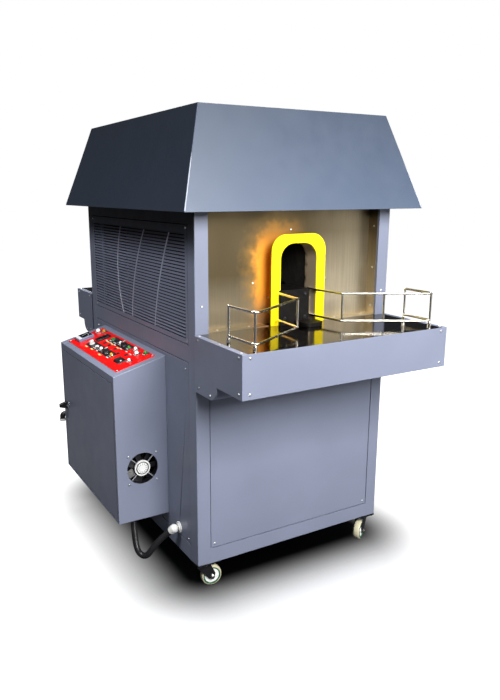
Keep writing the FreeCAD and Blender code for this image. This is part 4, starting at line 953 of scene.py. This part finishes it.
def latch():
    """Chrome rosette with a black wing knob, and the cam behind the door."""
    y, z = LATCH
    bm = bmesh.new()
    out = upright((BOX_X, y, z), (-1, 0, 0))
    add_lathe(bm, [(0, 0.5), (15, 0.5), (15, 2.2), (13.5, 3.8), (8, 4), (7, 7), (0, 7)], 40, out, 0)
    add_lathe(bm, drum(4.9, -16, 3), 24, out, 0)
    wing = bmesh.new()
    add_box(wing, (-36, -6, -17), (-3, 6, 17))
    for vert in wing.verts:
        if vert.co.x < -20:
            vert.co.z *= 7 / 17
    round_edges(wing, wing.edges[:], 2.6)
    add_shape(bm, wing, Matrix.Translation((BOX_X, y, z)), 1)
    add_box(bm, (BOX_X + 13.5, y - 7, z - 46), (BOX_X + 16, y + 7, z + 7), 0.5, index=0)
    piece("door_latch_wing", bm, "door_latch", (CHROME, BLACK_PLASTIC), True)


def fan():
    """Axial fan: square body, four struts and a ringed hub, with swept blades behind them."""
    x, z = FAN
    y = BOX_Y[0] + SHEET
    front = upright((x, y, z), (0, -1, 0))
    body = carved(new(add_box, (x - 59.5, y, z - 59.5), (x + 59.5, y + 25, z + 59.5), 1.5),
                  new(add_lathe, drum(FAN_BORE, -30, 5), 72, front))
    bm = new(add_shape, body, index=0)
    hub = [(0, -8), (28.5, -8), (29.5, -1), (29, 0.9), (24.5, 1.1), (24, 0.2), (20.5, 0.2), (20, 1.0),
           (11, 1.0), (10.5, 0.4), (8, 0.4), (7.5, 0.9), (0, 0.9)]
    add_lathe(bm, hub, 48, front, 1)
    add_lathe(bm, [(20.6, 0.3), (23.9, 0.3)], 48, front, 0)
    for step in range(12):
        add_box(bm, (12.5, -0.9, 0.7), (18.5, 0.9, 1.15), place=turned(front, 30 * step), index=2)
    for quarter in range(4):
        strut = turned(front, 45 + 90 * quarter)
        add_box(bm, (27, -1.6, -3), (FAN_BORE + 1, 1.6, -0.2), 0.5, place=strut, index=2)
    add_lathe(bm, drum(2.9, -22, -7), 16, front, 0)
    piece("fan_frame_body", bm, "fan_frame", (BLACK_PLASTIC, WHITE_PLASTIC, GREY_PLASTIC), True)
    piece("fan_blades", rolled(node_shape("fan_impeller"), 0.4), "fan_impeller", BLACK_PLASTIC, True)


def glands():
    """The conduit's straight gland and white elbow gland, and the mains gland's elbow behind the box."""
    bm = bmesh.new()
    x, y, low = BOX_END
    under = Matrix.Translation((x, y, 0))
    grip = [(6, low), (14, low), (15, low + 3), (15, BOX_Z - 9), (13, BOX_Z - 8)]
    add_lathe(bm, grip, 28, under, 0, (28, 0.03))
    hexagon = [(13, BOX_Z - 9), (18, BOX_Z - 9), (19, BOX_Z - 8), (19, BOX_Z), (9, BOX_Z)]
    add_lathe(bm, hexagon, 6, under, 0)
    add_lathe(bm, [(9, BOX_Z), (9, BOX_Z + 8), (6, BOX_Z + 8), (6, low)], 24, under, 0)
    end = Vector(BASE_END)
    way = (end - Vector(CONDUIT[-2])).normalized()
    elbow = end + way * ELBOW_ARM
    wall = Vector((-HALF_W, elbow.y, elbow.z))
    flange = [(9, -8), (9, 0), (20, 0), (21.5, 1.5), (20.5, 5), (15, 6), (14, 9), (14, elbow.x - wall.x)]
    add_lathe(bm, flange, 36, upright(wall, (-1, 0, 0)), 1)
    arm = [(6, -ELBOW_ARM), (14.4, -ELBOW_ARM), (15.4, -16), (15.4, -5), (14.5, -4), (14.5, 0)]
    add_lathe(bm, arm, 32, upright(elbow, way), 1)
    dome = bmesh.new()
    bmesh.ops.create_uvsphere(dome, u_segments=32, v_segments=20, radius=16)
    add_shape(bm, dome, Matrix.Translation(elbow), 1)
    nut = [(9, -8), (9, 0), (17, 0), (17, 4), (15, 5), (11, 5)]
    add_lathe(bm, nut, 6, upright(MAINS, (0, 1, 0)), 0)
    turn = Vector((MAINS[0] - 26, MAINS[1] + 18, MAINS[2]))
    add_tube(bm, rounded([MAINS, (MAINS[0], turn.y, turn.z), turn, (turn.x, turn.y, 406)], 10), 11, 24)
    mouth = [(6, 397), (12, 397), (13, 398.5), (13, 405), (12, 407), (6, 407)]
    add_lathe(bm, mouth, 28, Matrix.Translation((turn.x, turn.y, 0)), 1, (14, 0.06))
    piece("gland_bodies", bm, "cable_glands", (BLACK_PLASTIC, WHITE_PLASTIC), True)


# ---- red panel ----

KNOBS = {"gas_knob": (76, 160, 11, WHITE_PLASTIC), "blower_knob": (76, 0, 15, BLACK_PLASTIC),
         "selector_knob": (148, -8, 13, BLACK_PLASTIC)}
BUTTONS = {"start_button": (148, 110, GREEN_LENS), "stop_button": (148, 62, BLACK_PLASTIC),
           "ignition_button": (76, 100, WHITE_PLASTIC)}
LAMPS = ((148, 288, 8, 1), (162, 252, 6, 3), (76, 50, 6, 1), (76, -62, 6, 3), (148, 22, 6, 1),
         (148, -62, 6, 2), (158, -104, 6, 1), (142, -152, 7, 1), (163, -186, 6, 2), (96, -190, 5, 1))
LEGENDS = ((128, 132), (128, 84), (128, 40), (126, -30), (128, -84), (124, -128), (60, 60), (58, -62))
TILES = ((112, 108), (112, 60), (112, -8), (100, -70), (112, -120), (56, 128))
BANDS = ((148, 25, 101), (76, 57, 133))      # the last number is half the band's length
METER, METER_HALF, DIAL_V = (80, 268), 33, -8
DISPLAY = (128, 172)
ROCKER, ROCKER_HALF = (74, -152), (13, 21)


def knob(name, v, y, radius, material):
    """Fluted skirted knob with a white pointer line."""
    bm = bmesh.new()
    skirt = [(0, 0.5), (radius, 0.5), (radius, 2.5), (radius * 0.86, 4), (radius * 0.8, 4)]
    add_lathe(bm, skirt, 48, on_slope(v, y), 0)
    grip = [(radius * 0.8, 3.6), (radius * 0.78, 13.5), (radius * 0.7, 14.8), (0, 14.8)]
    add_lathe(bm, grip, 96, on_slope(v, y), 0, (16, 0.1))
    add_lathe(bm, [(0, -14), (3, -14), (3, 1)], 16, on_slope(v, y), 0)
    add_box(bm, (-1, -1.4, 14), (radius * 0.78, 1.4, 16.6), 0.5, place=on_slope(v, y), index=1)
    piece(f"{name}_grip", bm, name, (material, WHITE_PLASTIC), True)


def small_plates():
    """The panel's squares, strips, tiles and bands: place, half sizes, heights, bevel and material."""
    bezels = [(v, y, 15) for v, y, _ in BUTTONS.values()]
    bezels += [(v, y, radius + 6) for v, y, radius, _ in LAMPS]
    strips = [(v - 23, y, 11) for v, y, _ in BUTTONS.values()]
    strips += [(v - 26, y, 13) for v, y, _, _ in KNOBS.values()]
    thin, thick = (0.15, 1), (0.4, 2)
    plates = [(v, y, half, half, (0, 0.9), thick, 3) for v, y, half in bezels]
    plates += [(v - half + 3.25, y, 1.75, half - 2, (0.5, 1.2), (0.2, 1), 1) for v, y, half in bezels]
    plates += [(v, y, 3.2, half, (0, 0.4), thin, 2) for v, y, half in strips]
    plates += [(v, y, 2.4, 9, (0, 0.4), thin, 1) for v, y in LEGENDS]
    plates += [(v, y, 5.5, 8, (0, 1.2), thick, 3) for v, y in TILES]
    return plates + [(v, y, 19, half, (0, 0.35), thin, 3) for v, y, half in BANDS]


def panel_plate():
    """Red plate with bezels, scale ticks round the knobs and blank label strips."""
    softened("control_panel", 0.6, RED)
    trim = bmesh.new()
    for v, y, radius, _ in KNOBS.values():
        collar = [(radius + 3.4, 0), (radius + 3, 0.7), (radius + 1, 0.7), (radius + 0.8, 0)]
        add_lathe(trim, collar, 48, on_slope(v, y), 0)
        for step in range(11):
            tick = turned(on_slope(v, y), -150 + 30 * step)
            add_box(trim, (radius + 4.4, -0.5, 0), (radius + 7.4, 0.5, 0.25), place=tick, index=1)
    for v, y, half_v, half_y, (low, high), bevel, index in small_plates():
        add_box(trim, (-half_v, -half_y, low), (half_v, half_y, high), *bevel, on_slope(v, y), index)
    for v, y, _ in BUTTONS.values():
        add_lathe(trim, [(12, 0), (11.6, 2.2), (10, 3), (8.4, 2.6), (8.4, 0)], 40, on_slope(v, y), 0)
    for v, y, radius, _ in LAMPS:
        ring = [(radius + 3.4, 0), (radius + 3, 1.8), (radius + 1.4, 2.6), (radius + 0.2, 2.4)]
        add_lathe(trim, ring, 32, on_slope(v, y), 0)
    piece("panel_trim", trim, "control_panel", (CHROME, WHITE_PLASTIC, LABEL_YELLOW, BLACK_PLASTIC))


def meter():
    """Square temperature meter: grey frame, dark window with a needle over a ticked dial, white foot."""
    place, half = on_slope(*METER), METER_HALF
    dial = place @ Matrix.Translation((DIAL_V, 0, 0))
    bm = bmesh.new()
    add_box(bm, (-half, -half, 0), (half, half, 13), 2, 3, place, 0)
    add_box(bm, (-half + 3, -half + 3, 12), (-half + 16, half - 3, 14.5), 1, 2, place, 1)
    add_box(bm, (-half + 19, -half + 4, 12), (half - 4, half - 4, 13.8), 1, 2, place, 2)
    for step in range(9):
        add_box(bm, (26, -0.5, 13.8), (30, 0.5, 14.1), place=turned(dial, -60 + 15 * step), index=1)
    add_box(bm, (0, -0.6, 14), (24, 0.6, 14.5), place=turned(dial, 24), index=1)
    piece("panel_meter_face", bm, "panel_meter", (METER_GREY, WHITE_PLASTIC, DARK_GLASS), True)


def display():
    """Narrow black display with two dark windows."""
    place = on_slope(*DISPLAY)
    bm = new(add_box, (-29, -18, 0), (29, 18, 7), 1.5, 3, place, 0)
    for low, high in ((-25, -4), (2, 25)):
        add_box(bm, (low, -14, 6), (high, 14, 7.6), 0.6, 2, place, 1)
    piece("panel_display_face", bm, "panel_display", (BLACK_PLASTIC, DARK_GLASS), True)


def rocker():
    """Black rocker in a raised bezel, with a white lamp spot."""
    half_v, half_y = ROCKER_HALF
    bezel = carved(new(add_box, (-half_v - 4, -half_y - 5, 0), (half_v + 4, half_y + 5, 3), 1),
                   new(add_box, (-half_v - 1, -half_y - 1.5, -2), (half_v + 1, half_y + 1.5, 5)))
    piece("switch_bezel", new(add_shape, bezel, on_slope(*ROCKER)), "control_panel", BLACK_PLASTIC)
    cap = new(add_shape, rolled(node_shape("main_switch"), 1.0), index=0)
    tilt = Matrix.Rotation(math.radians(8), 4, "X") @ Matrix.Translation((0, -12, 0))
    add_lathe(cap, [(0, 3.5), (3.4, 3.5), (3.2, 6.3), (0, 6.6)], 20, on_slope(*ROCKER) @ tilt, 1)
    piece("main_switch_cap", cap, "main_switch", (BLACK_PLASTIC, WHITE_PLASTIC), True)


def box_controls():
    panel_plate()
    meter()
    display()
    rocker()
    for name, (v, y, radius, material) in KNOBS.items():
        knob(name, v, y, radius, material)
    for name, (v, y, material) in BUTTONS.items():
        button = [(0, -12), (8, -12), (8, 4.6), (7.2, 5.8), (4, 6), (0, 5.6)]
        piece(f"{name}_cap", new(add_lathe, button, 36, on_slope(v, y)), name, material, True)
    lamps = bmesh.new()
    for v, y, radius, index in LAMPS:
        turns = [math.pi / 16 * step for step in range(8)]
        dome = [(radius * math.cos(a), 5 + radius * math.sin(a)) for a in turns]
        add_lathe(lamps, [(radius, 0), *dome, (0, 5 + radius)], 28, on_slope(v, y), index - 1)
    piece("lamp_domes", lamps, "indicator_lamps", (LIT_LENS, GREEN_LENS, AMBER_LENS), True)


# ---- casters ----

def wheel(corner, place):
    """Cream tread on a dark green rim, with a white spoked face and a bright hub."""
    bm = bmesh.new()
    axle = place @ Matrix.Translation((TRAIL, 0, WHEEL_R)) @ Matrix.Rotation(math.pi / 2, 4, "X")
    tread = [(29, 12), (34.5, 11.5), (37, 8), (WHEEL_R, 3)]
    add_lathe(bm, [(radius, -out) for radius, out in tread] + tread[::-1], 56, axle, 0)
    rim = ((31.5, 11.5), (31.5, 12.8), (28, 13), (26, 10))
    face = ((27, 10.4), (24, 11), (14, 9.6), (12, 12.6), (6, 13), (5.1, 11))
    for side in (-1, 1):
        add_lathe(bm, [(radius, side * out) for radius, out in rim], 56, axle, 1)
        add_lathe(bm, [(radius, side * out) for radius, out in face], 56, axle, 2)
        low, high = sorted((side * 9, side * 11.6))
        for step in range(6):
            add_box(bm, (11, -1.5, low), (25, 1.5, high), 0.5, place=turned(axle, 60 * step), index=2)
    add_lathe(bm, [(5.1, -11), (5.1, 11)], 24, axle, 2)
    node = f"caster_wheel_{corner}"
    piece(f"{node}_tyre", bm, node, (CREAM, GREEN_RIM, WHITE_PLASTIC), True)


def fork(corner, place):
    """Pressed black fork with a swivel race and a bright axle bolt and nut."""
    node = f"caster_fork_{corner}"
    piece(f"{node}_pressing", rolled(node_shape(node), 0.8), node, BLACK_METAL, True, 40)
    bright = bmesh.new()
    bolt = [(0, 0), (8.6, 0), (8.8, 1), (7.4, 2.3), (7.2, 4), (5, 5.6), (0, 5.8)]
    for side, corners in ((-1, 28), (1, 6)):
        out = place @ upright((TRAIL, side * 19, WHEEL_R), (0, side, 0))
        add_lathe(bright, bolt, corners, out)
    add_lathe(bright, [(25.4, 86), (26.2, 88), (26.2, 91), (25.4, 92.6)], 40, place)
    piece(f"caster_axle_{corner}", bright, node, ZINC)


def casters():
    bolts = bmesh.new()
    bolt = [(0, 89.4), (4.4, 89.4), (5.4, 91), (5.6, 94.5)]
    for corner, (x, y, turn) in CASTERS.items():
        place = turned(Matrix.Translation((x, y, 0)), turn)
        wheel(corner, place)
        fork(corner, place)
        for dx, dy in ((-27, -27), (-27, 27), (27, -27), (27, 27)):
            add_lathe(bolts, bolt, 6, Matrix.Translation((x + dx, y + dy, 0)))
    softened("caster_plates", 0.7, BLACK_METAL)
    piece("caster_plate_bolts", bolts, "caster_plates", ZINC)


# ---- gas, air and furnace ----

RAIL_Z = 557
RELAYS = ((60, 80, 1), (60, 80, 1), (36, 70, 2), (36, 70, 2), (90, 100, 1))      # width, height, material


def electrics():
    """Zinc mounting plate with a rail, relays, a contactor, a terminal strip and a short wire loom."""
    back = -HALF_W - SHEET
    bm = bmesh.new()
    add_box(bm, (back - 3, -200, 260), (back, 290, 690), 0.6, index=0)
    add_box(bm, (back - 9, -180, RAIL_Z - 17), (back - 2, 270, RAIL_Z + 18), 0.5, index=0)
    for at, (width, height, colour) in enumerate(RELAYS):
        y, low, high = -150 + at * 85, RAIL_Z - height / 2, RAIL_Z + height / 2
        add_box(bm, (back - 58, y, low), (back - 9, y + width, high), 1.5, index=colour)
        add_box(bm, (back - 62, y + 6, RAIL_Z - 12), (back - 57, y + width - 6, RAIL_Z + 12), 1,
                index=3 - colour)
        for spot in ((y + width * share, z) for z in (low + 6, high - 6) for share in (0.3, 0.7)):
            screw = upright((back - 58, *spot), (-1, 0, 0))
            add_lathe(bm, [(0, 0), (2.6, 0), (2.4, 1.4), (0, 1.5)], 12, screw, 0)
    add_box(bm, (back - 40, -170, 300), (back - 2, 60, 420), 2, index=1)
    for y in range(-160, 56, 18):
        add_box(bm, (back - 45, y, 345), (back - 39, y + 12, 375), 0.8, index=2)
        wire = [(back - 42, y + 6, 377), (back - 44, y + 6, 450), (back - 30, y + 20, 505)]
        add_tube(bm, rounded(wire, 12), 1.6, 8, index=3)
    coats = (ZINC, BLACK_PLASTIC, GREY_PLASTIC, LABEL_YELLOW)
    piece("electrical_plate_gear", bm, "electrical_plate", coats, True)


def hidden_works():
    electrics()
    coats = {
        "chamber_casing": SLEEVE, "refractory_lining": FIREBRICK, "hearth_plate": BLACK_IRON,
        "burners": BLACK_IRON, "gas_manifold": GAS_YELLOW, "air_duct": GALVANISED,
        "blower_housing": DARK_PAINT, "blower_impeller": ALUMINIUM, "thermocouple": ALUMINIUM,
        "gas_inlet": BRASS, "gas_cock_lever": LEVER_RED,
    }
    for node, material in coats.items():
        softened(node, 0.8, material)


def fittings():
    screws()
    guard("guard_left", False)
    guard("guard_right", True)
    carriage()
    latch()
    fan()
    glands()


camera()
conduit()
sheet_metal()
fittings()
box_controls()
casters()
hidden_works()
studio()
